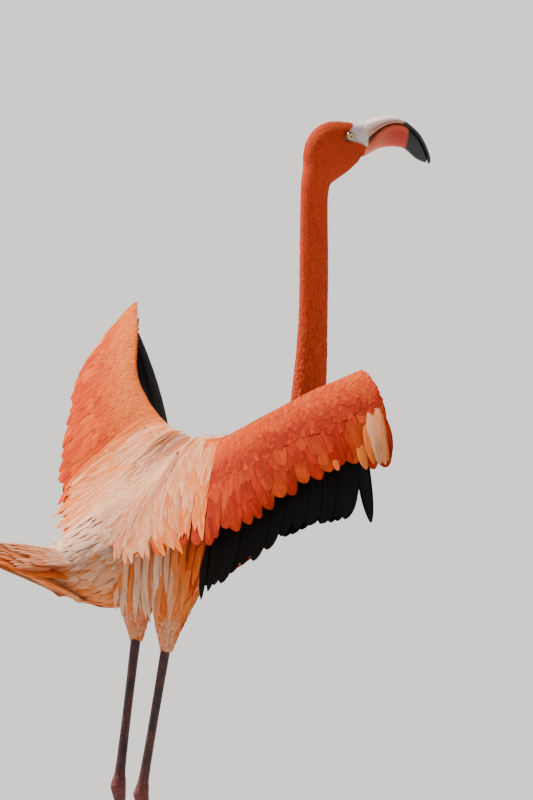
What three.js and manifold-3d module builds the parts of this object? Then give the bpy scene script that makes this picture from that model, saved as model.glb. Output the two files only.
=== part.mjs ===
// An adult American flamingo, life size, standing with its neck up and its wings half open.
// Millimetres, +Z up, the bird faces +X and its left side is +Y.
// Shapes are laid out from the top of the back between the shoulders, then the group is moved so that
// its origin is on the floor, under the middle of its box.
import * as THREE from "three";
import { mergeVertices } from "three/addons/utils/BufferGeometryUtils.js";
import Module from "manifold-3d";

const wasm = await Module();
wasm.setup();

// ---------------------------------------------------------------- driving dimensions

const GAP = 0.3; // clearance between two pieces that touch
const SHOULDER_HEIGHT = 795; // floor to the top of the back
const FLOOR = -SHOULDER_HEIGHT;

// Trunk: [x, middle height, half depth, half width], tail end first.
const TRUNK = [
  [-292, -142, 18, 20],
  [-266, -141, 32, 34],
  [-225, -141, 52, 53],
  [-181, -137, 70, 68],
  [-112, -120, 88, 81],
  [-30, -91, 103, 86],
  [44, -82, 88, 74],
  [90, -76, 58, 50],
  [112, -74, 28, 26],
  [119, -73, 5, 5],
];

// Neck: [x, height, radius], from inside the breast to inside the skull.
const NECK = [
  [52, -92, 44],
  [98, -80, 38],
  [134, -47, 31],
  [153, 2, 27],
  [161, 62, 24.5],
  [167, 150, 21],
  [168.5, 240, 20.5],
  [168.5, 322, 19.5],
  [171, 350, 20.5],
  [178, 376, 22],
  [184, 392, 20],
];
const NECK_SPLIT = 190; // height of the cut between the lower and the upper neck
const HEAD_CUT = 344; // height of the cut between the neck and the head

// Head and bill lie in their own frame: forward, up and sideways from the middle of the skull.
const SKULL = { x: 186, height: 396 };
const HEAD_YAW = THREE.MathUtils.degToRad(-13); // the head is turned a little to the bird's right
// [forward, top, bottom, half width]
const HEAD = [
  [-30, 0, -22, 6],
  [-24, 19, -46, 15],
  [-11, 34, -56, 20],
  [6, 40.5, -50, 21],
  [22, 40, -41, 20],
  [38, 37, -31, 17.5],
  [52, 34.5, -19, 14.5],
  [66, 33.5, -10, 13],
  [74, 32, -5, 12],
];
// Upper half of the bill: [forward, up of the ridge, up of the cutting edge, half width]
const BILL_UPPER = [
  [54, 33.5, 6, 10],
  [66, 37, 12, 10.5],
  [80, 40, 22.5, 10],
  [96, 41, 29, 9.5],
  [110, 38.3, 28.8, 9],
];
// From the bend on the bill turns down: [forward and up of the ridge, forward and up of the cutting edge, half width]
const BILL_UPPER_BENT = [
  [122.8, 30.5, 119, 24.5, 8.5],
  [135, 20, 130, 15.5, 8],
  [144.5, 9, 139, 5.5, 7.5],
  [153.5, -8, 147.5, -9.5, 6.5],
  [159.5, -24, 153.5, -24, 4.5],
  [158.5, -32, 155, -31, 2],
];
// Lower half: [forward and up of the cutting edge, forward and up of the underside, half width]
const BILL_LOWER = [
  [66, 9, 66, -9, 11],
  [80, 21.3, 80, -3.5, 12.5],
  [95, 27.8, 96, -2.6, 13],
  [108, 27.6, 109, -4, 12.5],
  [118, 23.5, 120, -8, 11.5],
  [129, 14.5, 128, -15, 10],
  [138, 4.5, 135, -21.5, 8],
  [146.5, -10.5, 143, -26.5, 6],
  [152.5, -24.5, 151, -30, 3.5],
];
const BILL_START = 62; // where the bill leaves the face
const BILL_LOWER_TUCK = 5; // how far the lower half is drawn up into the upper before it is trimmed to it
const EYE = { forward: 32, up: 20, side: 15.2, radius: 7 };

// Tail: a short tented fan.
const TAIL = {
  root: [-246, -117], // the top line where it leaves the rump
  length: 158,
  rise: 0.26,
  halfWidthRoot: 27,
  halfWidthTip: 50,
  droop: 32,
  thicknessRoot: 58, // with the small feathers above and below it
  thicknessTip: 3,
  feathers: 10,
};

// Wing, left side. The leading edge runs from the body to the wrist, and the covert edge is where
// the small feathers end and the black flight feathers show.
const LEADING_EDGE = [
  [-46, 24, 17],
  [-38, 76, 27],
  [-34, 116, 47],
  [-20, 162, 76],
  [19, 216, 115],
  [56, 271, 147],
];
const COVERT_EDGE = [
  [-216, 50, -124],
  [-150, 164, -98],
  [-112, 218, -63],
  [-64, 273, -17],
  [-14, 327, 17],
  [42, 371, 39],
];
const WING = {
  camber: 17,
  camberRoot: 5,
  // How far the bent wrist rounds out past a straight end. The right wing is held further forward.
  wristSwell: { left: [0, -9, -5], right: [11.5, 12.5, 9.5] },
  thickness: 27,
  thicknessTip: 15,
  edge: 3,
  feathers: 12,
  scallop: 7,
};
// Flight feathers hang from under the coverts, between two places along the wing: [x, y, z] of their tips
const SECONDARIES = {
  from: 0.235,
  to: 0.86,
  root: 0.3,
  bend: 0.86,
  feathers: 8,
  thickness: 2.6,
  scallop: 0.05,
  tips: [
    [-134, 160, -164],
    [-125, 184, -143],
    [-98, 232, -104],
    [-52, 284, -52],
    [-10, 326, -45],
  ],
};
const TERTIALS = {
  from: 0.02,
  to: 0.222,
  root: 0.42,
  bend: 1,
  feathers: 6,
  thickness: 3.2,
  scallop: 0.09,
  tips: [
    [-212, 60, -194],
    [-176, 88, -206],
    [-150, 110, -204],
    [-134, 138, -168],
  ],
};
const FLIGHT_ROOT_DEPTH = 9; // below the middle of the wing where they start
const FLIGHT_BEND_DEPTH = 5; // and where they turn down
// Primaries: blades that hang from the wrist, front one first. Each has its tip, the way its front edge
// faces in plan, its widths near the root and the tip, and how much of its width lies ahead of its middle line.
const PRIMARY_BLADES = [
  { tip: [94, 242, -76], facing: 24, broad: 22, narrow: 20, front: 10 },
  { tip: [2, 290, -53], facing: 45, broad: 42, narrow: 25, front: 4 },
  { tip: [-26, 272, -58], facing: 55, broad: 42, narrow: 25, front: 6 },
  { tip: [-54, 250, -76], facing: 60, broad: 42, narrow: 25, front: 8 },
];
const PRIMARY = { root: [50, 262, 100], rootWidth: 16, thickness: 3 };

// Legs, left side. Thigh: [x, y, z, half length fore and aft, half width]
const THIGH = [
  [-72, 44, -140, 44, 36],
  [-90, 46, -172, 40, 33],
  [-100, 45, -202, 33, 27],
  [-104, 41, -230, 23, 19],
  [-106, 38, -256, 13, 12],
  [-107, 37, -274, 9.5, 9],
];
const ANKLE = [-145, 28, -474];
const FOOT = [-92, 47, FLOOR];
const SHANK_RADIUS = 6.4;
const ANKLE_RADIUS = 11;
const TARSUS_RADIUS = 5.6;
const FOOT_TOP = 12; // height of the tarsus foot joint over the floor
const TOE_OUT = THREE.MathUtils.degToRad(7);
// Toes: [direction in degrees from straight ahead, length]
const TOES = [
  [-30, 68],
  [0, 86],
  [31, 74],
];
const TOE_RADIUS = 5;
const WEB_THICKNESS = 2.4;
const HIND_TOE = { length: 15, radius: 3.2 };

const COLOURS = {
  plumage: 0xe8623a,
  back: 0xf0a98c,
  black: 0x17130f,
  billBase: 0xe9b9a4,
  billRed: 0xd9583c,
  iris: 0xe6d38a,
  leg: 0x5c4441,
};

// ---------------------------------------------------------------- curves

// A smooth pass through rows of numbers, at t from 0 to 1.
function along(rows, t) {
  const spans = rows.length - 1;
  const place = THREE.MathUtils.clamp(t, 0, 1) * spans;
  const i = Math.min(Math.floor(place), spans - 1);
  const f = place - i;
  const before = rows[Math.max(i - 1, 0)];
  const after = rows[Math.min(i + 2, spans)];
  return rows[i].map((a, k) => {
    const b = rows[i + 1][k];
    const slopeA = (b - before[k]) / 2;
    const slopeB = (after[k] - a) / 2;
    const bend = 3 * (b - a) - 2 * slopeA - slopeB;
    const twist = 2 * (a - b) + slopeA + slopeB;
    return a + f * (slopeA + f * (bend + f * twist));
  });
}

const pointAlong = (rows, t) => new THREE.Vector3(...along(rows, t).slice(0, 3));

// A rounded feather end: 1 along the middle of each feather, 0 between two of them.
const featherRound = (s, count) => Math.sqrt(1 - Math.pow(2 * ((s * count) % 1) - 1, 2) * 0.999);

// ---------------------------------------------------------------- solids

function solidFrom(positions, triangles) {
  const geometry = new THREE.BufferGeometry();
  geometry.setAttribute("position", new THREE.Float32BufferAttribute(positions, 3));
  geometry.setIndex(triangles);
  return solidOf(geometry);
}

// Faces that point inwards are turned round.
function solidOf(source) {
  const bare = source.clone();
  bare.deleteAttribute("normal");
  bare.deleteAttribute("uv");
  const merged = mergeVertices(bare, 1e-3);
  const triVerts = new Uint32Array(merged.index.array);
  const vertProperties = new Float32Array(merged.attributes.position.array);
  const made = new wasm.Manifold(new wasm.Mesh({ numProp: 3, vertProperties, triVerts }));
  if (made.volume() > 0) return made;
  for (let i = 0; i < triVerts.length; i += 3) {
    [triVerts[i + 1], triVerts[i + 2]] = [triVerts[i + 2], triVerts[i + 1]];
  }
  return new wasm.Manifold(new wasm.Mesh({ numProp: 3, vertProperties, triVerts }));
}

function geometryOf(solid) {
  const { vertProperties, triVerts } = solid.getMesh();
  const geometry = new THREE.BufferGeometry();
  geometry.setAttribute("position", new THREE.Float32BufferAttribute(vertProperties, 3));
  geometry.setIndex(Array.from(triVerts));
  geometry.computeVertexNormals();
  return geometry;
}

// The same solid on the other side of the middle plane.
const mirrored = (solid) => solidOf(geometryOf(solid).scale(1, -1, 1));

// A skin over rings of points, closed at both ends.
function loft(rings) {
  const count = rings[0].length;
  const positions = rings.flat().flatMap((p) => [p.x, p.y, p.z]);
  const triangles = [];
  for (let r = 0; r + 1 < rings.length; r++) {
    for (let k = 0; k < count; k++) {
      const a = r * count + k;
      const b = r * count + ((k + 1) % count);
      triangles.push(a, b, b + count, a, b + count, a + count);
    }
  }
  for (const [first, turn] of [[0, 1], [(rings.length - 1) * count, 0]]) {
    const ring = rings[first / count];
    const middle = ring.reduce((sum, p) => sum.add(p), new THREE.Vector3()).divideScalar(count);
    const centre = positions.length / 3;
    positions.push(middle.x, middle.y, middle.z);
    for (let k = 0; k < count; k++) {
      const a = first + k;
      const b = first + ((k + 1) % count);
      triangles.push(...(turn ? [centre, b, a] : [centre, a, b]));
    }
  }
  return solidFrom(positions, triangles);
}

// An oval ring about a centre, in the plane of two unit directions.
function oval(centre, across, up, halfAcross, halfUp, count) {
  return Array.from({ length: count }, (_, k) => {
    const angle = (2 * Math.PI * k) / count;
    return centre
      .clone()
      .addScaledVector(across, halfAcross * Math.cos(angle))
      .addScaledVector(up, halfUp * Math.sin(angle));
  });
}

// A curved sheet with thickness. point(s, t) is its middle and thickness(s, t) its depth there.
function sheet(point, thickness, columns, rows) {
  const step = 1e-3;
  const upper = [];
  const lower = [];
  for (let i = 0; i <= columns; i++) {
    for (let j = 0; j <= rows; j++) {
      const s = i / columns;
      const t = j / rows;
      const across = point(Math.min(s + step, 1), t).sub(point(Math.max(s - step, 0), t));
      const down = point(s, Math.min(t + step, 1)).sub(point(s, Math.max(t - step, 0)));
      const normal = across.cross(down).normalize().multiplyScalar(thickness(s, t) / 2);
      upper.push(point(s, t).add(normal));
      lower.push(point(s, t).sub(normal));
    }
  }
  const positions = [...upper, ...lower].flatMap((p) => [p.x, p.y, p.z]);
  const place = (i, j, side) => side * upper.length + i * (rows + 1) + j;
  const triangles = [];
  const quad = (a, b, c, d) => triangles.push(a, b, c, a, c, d);
  for (let i = 0; i < columns; i++) {
    for (let j = 0; j < rows; j++) {
      quad(place(i, j, 0), place(i + 1, j, 0), place(i + 1, j + 1, 0), place(i, j + 1, 0));
      quad(place(i, j, 1), place(i, j + 1, 1), place(i + 1, j + 1, 1), place(i + 1, j, 1));
    }
  }
  for (let i = 0; i < columns; i++) {
    quad(place(i, 0, 0), place(i, 0, 1), place(i + 1, 0, 1), place(i + 1, 0, 0));
    quad(place(i, rows, 0), place(i + 1, rows, 0), place(i + 1, rows, 1), place(i, rows, 1));
  }
  for (let j = 0; j < rows; j++) {
    quad(place(0, j, 0), place(0, j + 1, 0), place(0, j + 1, 1), place(0, j, 1));
    quad(place(columns, j, 0), place(columns, j, 1), place(columns, j + 1, 1), place(columns, j + 1, 0));
  }
  return solidFrom(positions, triangles);
}

// A block between two corners, for planar cuts.
function block(low, high) {
  const size = high.clone().sub(low);
  const box = new THREE.BoxGeometry(size.x, size.y, size.z);
  box.translate(...low.clone().add(high).divideScalar(2).toArray());
  return solidOf(box);
}

const REACH = 2000; // larger than the bird

const layer = (bottom, top) =>
  block(new THREE.Vector3(-REACH, -REACH, bottom), new THREE.Vector3(REACH, REACH, top));

// All that lies ahead of a place along the head.
const fromHead = (forward) =>
  solidOf(
    geometryOf(block(new THREE.Vector3(forward, -60, -80), new THREE.Vector3(240, 60, 100)))
      .applyMatrix4(headFrame),
  );

const AXIS_Y = new THREE.Vector3(0, 1, 0);
const AXIS_Z = new THREE.Vector3(0, 0, 1);

// ---------------------------------------------------------------- trunk, neck and tail

function trunkSolid(grow = 0) {
  const rings = 16;
  return loft(
    Array.from({ length: rings + 1 }, (_, r) => {
      const [x, height, deep, wide] = along(TRUNK, r / rings);
      const ends = r === 0 ? -grow : r === rings ? grow : 0;
      return oval(new THREE.Vector3(x + ends, 0, height), AXIS_Y, AXIS_Z, wide + grow, deep + grow, 20);
    }),
  );
}

function neckSolid() {
  const rings = 18;
  return loft(
    Array.from({ length: rings + 1 }, (_, r) => {
      const t = r / rings;
      const [x, height, radius] = along(NECK, t);
      const ahead = along(NECK, Math.min(t + 0.01, 1));
      const behind = along(NECK, Math.max(t - 0.01, 0));
      const tangent = new THREE.Vector3(ahead[0] - behind[0], 0, ahead[1] - behind[1]).normalize();
      const outward = new THREE.Vector3().crossVectors(tangent, AXIS_Y);
      return oval(new THREE.Vector3(x, 0, height), AXIS_Y, outward, radius, radius, 12);
    }),
  );
}

function tailSolid() {
  const { root, length, rise, halfWidthRoot, halfWidthTip, droop, feathers } = TAIL;
  const thickness = (s, t) => THREE.MathUtils.lerp(TAIL.thicknessRoot, TAIL.thicknessTip, Math.pow(t, 0.75));
  const point = (s, t) => {
    const side = 2 * s - 1;
    const reach = length * (1 - 0.14 * side * side) * (0.93 + 0.07 * featherRound(s, feathers));
    const halfWidth = THREE.MathUtils.lerp(halfWidthRoot, halfWidthTip, Math.pow(t, 0.7));
    const tent = droop * Math.pow(Math.abs(side), 1.3) * (0.35 + 0.65 * t);
    const height = root[1] + rise * reach * t - tent - thickness(s, t) / 2;
    return new THREE.Vector3(root[0] - reach * t, side * halfWidth, height);
  };
  return sheet(point, thickness, feathers * 2, 3);
}

// ---------------------------------------------------------------- head and bill

const headFrame = new THREE.Matrix4()
  .makeRotationZ(HEAD_YAW)
  .setPosition(SKULL.x, 0, SKULL.height);

const inHead = (forward, side, up) => new THREE.Vector3(forward, side, up).applyMatrix4(headFrame);
const HEAD_FORWARD = new THREE.Vector3(1, 0, 0).transformDirection(headFrame);
const HEAD_SIDE = new THREE.Vector3(0, 1, 0).transformDirection(headFrame);

function skullSolid() {
  const rings = 10;
  return loft(
    Array.from({ length: rings + 1 }, (_, r) => {
      const [forward, top, bottom, wide] = along(HEAD, r / rings);
      const centre = inHead(forward, 0, (top + bottom) / 2);
      return oval(centre, HEAD_SIDE, AXIS_Z, wide, (top - bottom) / 2, 14);
    }),
  );
}

// A ring of the bill between its upper and lower line in the head's middle plane.
function billRing([forwardTop, top, forwardBottom, bottom, wide], count, grow = 0) {
  const centre = inHead((forwardTop + forwardBottom) / 2, 0, (top + bottom) / 2);
  const up = inHead(forwardTop, 0, top).sub(centre);
  return oval(centre, HEAD_SIDE, up.clone().normalize(), wide + grow, up.length() + grow, count);
}

function billUpperSolid(grow = 0) {
  const straight = BILL_UPPER.map(([forward, top, edge, wide]) => [forward, top, forward, edge, wide]);
  const lines = [...straight, ...BILL_UPPER_BENT];
  const rings = 12;
  return loft(
    Array.from({ length: rings + 1 }, (_, r) => billRing(along(lines, r / rings), 10, grow)),
  );
}

function billLowerSolid() {
  const rings = 10;
  return loft(
    Array.from({ length: rings + 1 }, (_, r) => {
      const line = along(BILL_LOWER, r / rings);
      line[1] += BILL_LOWER_TUCK;
      return billRing(line, 10);
    }),
  );
}

function eyeSolid(side, grow = 0) {
  const ball = new THREE.SphereGeometry(EYE.radius + grow, 12, 6);
  const place = inHead(EYE.forward, side * EYE.side, EYE.up);
  ball.translate(place.x, place.y, place.z);
  return solidOf(ball);
}

// ---------------------------------------------------------------- wing
// Both wings are laid out on the left, and the right one is mirrored. Side is "left" or "right".

// The middle surface of the wing: s runs from the body to the wrist, t from the leading edge back.
function wingPoint(s, t, side) {
  const lead = pointAlong(LEADING_EDGE, s);
  const edge = pointAlong(COVERT_EDGE, s);
  const chord = edge.clone().sub(lead);
  const span = pointAlong(LEADING_EDGE, Math.min(s + 0.05, 1)).sub(
    pointAlong(LEADING_EDGE, Math.max(s - 0.05, 0)),
  );
  const normal = span.cross(chord).normalize();
  const hump = 2.6 * t * Math.pow(1 - t, 0.75);
  const camber = THREE.MathUtils.lerp(WING.camberRoot, WING.camber, THREE.MathUtils.smoothstep(s, 0, 0.35));
  const swell = Math.sin(Math.PI * Math.pow(t, 0.7)) * THREE.MathUtils.smoothstep(s, 0.72, 1);
  return lead
    .addScaledVector(chord, t)
    .addScaledVector(normal, camber * hump)
    .addScaledVector(new THREE.Vector3(...WING.wristSwell[side]), swell);
}

function wingSolid(side, grow = 0) {
  const point = (s, t) => {
    const trim = (WING.scallop / 170) * (1 - featherRound(s, WING.feathers));
    return wingPoint(s, t * (1 - trim), side);
  };
  const thickness = (s, t) => {
    const arm = THREE.MathUtils.lerp(WING.thickness, WING.thicknessTip, s * s);
    const nose = Math.sqrt(Math.min(1, t / 0.12));
    const taper = Math.pow(1 - t, 1.4);
    return WING.edge + (arm - WING.edge) * nose * taper + 2 * grow;
  };
  return sheet(point, thickness, WING.feathers * 2, 6);
}

// A row of flight feathers from under the coverts to its tips.
function flightRow({ from, to, root, bend, feathers, thickness, scallop, tips }, side) {
  const point = (s, t) => {
    const place = THREE.MathUtils.lerp(from, to, s);
    const start = underWing(place, root, side, FLIGHT_ROOT_DEPTH);
    const turn = underWing(place, bend, side, FLIGHT_BEND_DEPTH);
    const reach = t * (1 - scallop * (1 - featherRound(s, feathers)));
    return new THREE.QuadraticBezierCurve3(start, turn, pointAlong(tips, s)).getPoint(reach);
  };
  return sheet(point, () => thickness, feathers * 2, 4);
}

// A point below the middle surface of the wing.
function underWing(s, t, side, depth) {
  const step = 0.02;
  const outer = wingPoint(Math.min(s + step, 1), t, side);
  const across = outer.sub(wingPoint(Math.max(s - step, 0), t, side));
  const rear = wingPoint(s, Math.min(t + step, 1), side);
  const down = rear.sub(wingPoint(s, Math.max(t - step, 0), side));
  return wingPoint(s, t, side).addScaledVector(across.cross(down).normalize(), -depth);
}

function primarySolid() {
  const { root, rootWidth, thickness } = PRIMARY;
  const start = new THREE.Vector3(...root);
  const blades = PRIMARY_BLADES.map(({ tip, facing, broad, narrow, front }) => {
    const widths = [[rootWidth], [broad * 0.9], [broad], [narrow * 1.15], [narrow], [narrow * 0.35]];
    const line = new THREE.Vector3(...tip).sub(start);
    const angle = THREE.MathUtils.degToRad(facing);
    const spine = line.clone().normalize();
    const edge = new THREE.Vector3(Math.cos(angle), Math.sin(angle), 0);
    edge.addScaledVector(spine, -edge.dot(spine)).normalize();
    const point = (s, t) => {
      const [width] = along(widths, t);
      const ahead = Math.min(front, width / 2);
      return start
        .clone()
        .addScaledVector(line, t)
        .addScaledVector(edge, THREE.MathUtils.lerp(ahead - width, ahead, s));
    };
    return sheet(point, () => thickness, 1, 5);
  });
  return blades.reduce((joined, blade) => joined.add(blade));
}

// ---------------------------------------------------------------- leg, left side

function thighSolid(grow = 0) {
  const rings = 7;
  return loft(
    Array.from({ length: rings + 1 }, (_, r) => {
      const [x, y, z, long, wide] = along(THIGH, r / rings);
      const low = r === rings ? grow : 0;
      return oval(
        new THREE.Vector3(x, y, z - low),
        new THREE.Vector3(1, 0, 0),
        AXIS_Y,
        long + grow,
        wide + grow,
        10,
      );
    }),
  );
}

// A round bar through rows of [x, y, z, radius].
function bar(rows, rings, sides) {
  return loft(
    Array.from({ length: rings + 1 }, (_, r) => {
      const [x, y, z, radius] = along(rows, r / rings);
      return oval(
        new THREE.Vector3(x, y, z),
        new THREE.Vector3(1, 0, 0),
        AXIS_Y,
        radius * 1.08,
        radius,
        sides,
      );
    }),
  );
}

// A point on the line between two places, as [x, y, z].
const between = (a, b, t) => [0, 1, 2].map((k) => THREE.MathUtils.lerp(a[k], b[k], t));

function shankSolid() {
  const top = THIGH[THIGH.length - 1].slice(0, 3);
  top[2] -= GAP;
  const rows = [
    [...top, SHANK_RADIUS],
    [...between(top, ANKLE, 0.5), SHANK_RADIUS * 0.97],
    [...between(top, ANKLE, 0.86), SHANK_RADIUS * 1.05],
    [...between(top, ANKLE, 0.93), SHANK_RADIUS * 1.2],
  ];
  return bar(rows, 5, 8);
}

function tarsusSolid() {
  const top = between(THIGH[THIGH.length - 1], ANKLE, 0.93);
  top[2] -= GAP;
  const foot = [FOOT[0], FOOT[1], FLOOR + FOOT_TOP + GAP];
  const rows = [
    [...top, SHANK_RADIUS * 1.2],
    [...ANKLE, ANKLE_RADIUS],
    [...between(ANKLE, foot, 0.06), ANKLE_RADIUS * 0.8],
    [...between(ANKLE, foot, 0.14), TARSUS_RADIUS * 1.1],
    [...between(ANKLE, foot, 0.5), TARSUS_RADIUS],
    [...between(ANKLE, foot, 0.92), TARSUS_RADIUS * 1.05],
    [...foot, TARSUS_RADIUS * 1.35],
  ];
  return bar(rows, 12, 8);
}

// Direction of a toe in plan, in degrees from straight ahead, outward positive.
function toeDirection(degrees) {
  const angle = TOE_OUT + THREE.MathUtils.degToRad(degrees);
  return new THREE.Vector3(Math.cos(angle), Math.sin(angle), 0);
}

function toeSolid(degrees, length) {
  const forward = toeDirection(degrees);
  const across = new THREE.Vector3(-forward.y, forward.x, 0);
  const heel = new THREE.Vector3(FOOT[0], FOOT[1], 0).addScaledVector(forward, -5);
  const rows = [
    [0, 5, 6],
    [0.12, TOE_RADIUS * 1.25, 5.2],
    [0.5, TOE_RADIUS, 4],
    [0.8, TOE_RADIUS * 0.85, 3.4],
    [0.92, TOE_RADIUS * 0.6, 2.6],
    [1, 1.2, 1],
  ];
  const rings = 6;
  return loft(
    Array.from({ length: rings + 1 }, (_, r) => {
      const [part, wide, high] = along(rows, r / rings);
      const centre = heel.clone().addScaledVector(forward, part * (length + 5));
      centre.z = FLOOR + high * 0.55;
      return oval(centre, across, AXIS_Z, wide, high, 6);
    }),
  );
}

function webSolid() {
  const heel = new THREE.Vector2(FOOT[0], FOOT[1]);
  const ends = TOES.map(([degrees, length]) => {
    const forward = toeDirection(degrees);
    return heel.clone().addScaledVector(new THREE.Vector2(forward.x, forward.y), length * 0.84);
  });
  const outline = new THREE.Shape();
  outline.moveTo(heel.x, heel.y);
  outline.lineTo(ends[0].x, ends[0].y);
  for (const next of [1, 2]) {
    const middle = ends[next - 1].clone().add(ends[next]).divideScalar(2);
    const notch = middle.lerp(heel, 0.22);
    outline.quadraticCurveTo(notch.x, notch.y, ends[next].x, ends[next].y);
  }
  outline.lineTo(heel.x, heel.y);
  const plate = new THREE.ExtrudeGeometry(outline, {
    depth: WEB_THICKNESS,
    bevelEnabled: false,
    curveSegments: 5,
  });
  plate.translate(0, 0, FLOOR);
  return solidOf(plate);
}

function footSolid() {
  const toes = TOES.map(([degrees, length]) => toeSolid(degrees, length));
  const pad = loft(
    [0, 4, FOOT_TOP - 3, FOOT_TOP].map((height, k) =>
      oval(
        new THREE.Vector3(FOOT[0], FOOT[1], FLOOR + height),
        new THREE.Vector3(1, 0, 0),
        AXIS_Y,
        [10, 10.5, 9, 7.5][k],
        [9, 9.5, 8, 7][k],
        10,
      ),
    ),
  );
  const back = toeDirection(180);
  const hind = new THREE.CapsuleGeometry(HIND_TOE.radius, HIND_TOE.length, 2, 8);
  hind.applyQuaternion(new THREE.Quaternion().setFromUnitVectors(AXIS_Y, back));
  hind.translate(FOOT[0] + back.x * 11, FOOT[1] + back.y * 11, FLOOR + 4.4);
  const joined = [...toes, pad, solidOf(hind)].reduce((sum, piece) => sum.add(piece), webSolid());
  return joined.intersect(layer(FLOOR, FLOOR + FOOT_TOP));
}

// ---------------------------------------------------------------- assembly

const bird = new THREE.Group();
const upright = new THREE.Group(); // holds the pieces in the layout frame
bird.add(upright);

function place(name, solid, colour, roughness = 0.8) {
  const material = new THREE.MeshStandardMaterial({ color: colour, roughness, metalness: 0 });
  const mesh = new THREE.Mesh(geometryOf(solid), material);
  mesh.name = name;
  upright.add(mesh);
}

// Places a solid that is laid out on the left, mirrored where it belongs to the right side.
function placeSide(name, side, solid, colour, roughness) {
  place(`${name}_${side}`, side === "left" ? solid : mirrored(solid), colour, roughness);
}

const trunk = trunkSolid();
const trunkRoom = trunkSolid(GAP).add(mirrored(trunkSolid(GAP)));
const neckAndHead = neckSolid().add(skullSolid());
const neck = neckAndHead.subtract(trunkRoom);

place("trunk", trunk, COLOURS.plumage);
place("neck_lower", neck.intersect(layer(-REACH, NECK_SPLIT - GAP)), COLOURS.plumage);
place("neck_upper", neck.intersect(layer(NECK_SPLIT, HEAD_CUT - GAP)), COLOURS.plumage);

const head = neckAndHead
  .intersect(layer(HEAD_CUT, REACH))
  .subtract(fromHead(BILL_START))
  .subtract(eyeSolid(1, GAP))
  .subtract(eyeSolid(-1, GAP));
place("head", head, COLOURS.plumage);
place("eye_left", eyeSolid(1), COLOURS.iris, 0.2);
place("eye_right", eyeSolid(-1), COLOURS.iris, 0.2);

const billSpace = fromHead(BILL_START + GAP);
place("bill_upper", billUpperSolid().intersect(billSpace), COLOURS.billBase, 0.45);
const billLower = billLowerSolid().intersect(billSpace).subtract(billUpperSolid(GAP));
place("bill_lower", billLower, COLOURS.billRed, 0.45);

place("tail", tailSolid().subtract(trunkRoom), COLOURS.plumage);

const thigh = thighSolid().subtract(trunkRoom);
const thighRoom = thighSolid(GAP);
for (const side of ["left", "right"]) {
  const wingRoom = wingSolid(side, GAP);
  const secondaries = flightRow(SECONDARIES, side).subtract(wingRoom).subtract(trunkRoom);
  const tertials = flightRow(TERTIALS, side).subtract(wingRoom).subtract(trunkRoom).subtract(thighRoom);
  placeSide("wing", side, wingSolid(side).subtract(trunkRoom), COLOURS.plumage);
  placeSide("secondaries", side, secondaries, COLOURS.black, 0.6);
  placeSide("primaries", side, primarySolid().subtract(wingRoom), COLOURS.black, 0.6);
  placeSide("tertials", side, tertials, COLOURS.back);
  placeSide("thigh", side, thigh, COLOURS.plumage);
  placeSide("shank", side, shankSolid(), COLOURS.leg, 0.6);
  placeSide("tarsus", side, tarsusSolid(), COLOURS.leg, 0.6);
  placeSide("foot", side, footSolid(), COLOURS.leg, 0.6);
}

const box = new THREE.Box3().setFromObject(upright);
upright.position.set(-(box.min.x + box.max.x) / 2, -(box.min.y + box.max.y) / 2, -box.min.z);

export default bird;
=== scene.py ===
"""A standing flamingo, life size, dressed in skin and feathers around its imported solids.

One skin carries the flesh, the bare face and the legs. Feathers are closed vanes gathered into joined meshes.
Shapes are laid out in millimetres from the top of the back between the shoulders, as the solids are:
+X is forward, +Y is the bird's left and +Z is up. Wings, legs and claws are laid out on the left and mirrored
for the right.
"""
import math

import bmesh
import bpy
import numpy as np
from mathutils import Matrix, Vector
from mathutils.bvhtree import BVHTree
from mathutils.kdtree import KDTree


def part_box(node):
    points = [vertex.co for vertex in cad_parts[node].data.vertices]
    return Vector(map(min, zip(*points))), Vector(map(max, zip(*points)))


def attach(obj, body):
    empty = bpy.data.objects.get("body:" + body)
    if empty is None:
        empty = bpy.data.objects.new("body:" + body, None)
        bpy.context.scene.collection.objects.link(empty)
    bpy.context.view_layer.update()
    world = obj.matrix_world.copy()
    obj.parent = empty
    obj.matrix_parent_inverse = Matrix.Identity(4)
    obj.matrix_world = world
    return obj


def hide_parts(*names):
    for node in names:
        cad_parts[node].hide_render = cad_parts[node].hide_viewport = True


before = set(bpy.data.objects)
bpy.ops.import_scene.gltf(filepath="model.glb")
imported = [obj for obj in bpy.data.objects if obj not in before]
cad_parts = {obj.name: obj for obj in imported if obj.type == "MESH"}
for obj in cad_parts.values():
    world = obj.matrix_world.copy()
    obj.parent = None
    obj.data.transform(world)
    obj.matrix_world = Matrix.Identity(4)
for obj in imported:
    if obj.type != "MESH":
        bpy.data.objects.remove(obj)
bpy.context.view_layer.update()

# ---------------------------------------------------------------- the bird's measures, in millimetres

SHOULDER_HEIGHT = 795
TRUNK_BACK_END = -292
# The layout's origin in the frame.
BACK = np.array([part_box("trunk")[0].x * 1000 - TRUNK_BACK_END, 0, SHOULDER_HEIGHT])
FLOOR = -SHOULDER_HEIGHT
SIDES = (("left", 1), ("right", -1))
FORE, LEFT, UP = np.eye(3)

# The trunk's x, middle height and half depth, tail end first.
TRUNK = np.array([
    [-292, -142, 18], [-266, -141, 32], [-225, -141, 52], [-181, -137, 70], [-112, -120, 88],
    [-30, -91, 103], [44, -82, 88], [90, -76, 58], [112, -74, 28], [119, -73, 5],
]).T
# The neck's middle line, x and height, from the breast up to the skull.
NECK = np.array([
    [52, -92], [98, -80], [134, -47], [153, 2], [161, 62], [167, 150], [168.5, 240], [168.5, 322],
    [171, 350], [178, 376], [184, 392],
]).T
SKULL = np.array([186, 0, 396])
HEAD_YAW = math.radians(-13)
HEAD_FROM = 335  # height over which the skin is the head's
HEAD_COAT_FROM = 340  # and over which its feathers are
THIGH_FROM = -200  # height under which feathers are the thighs'
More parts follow.
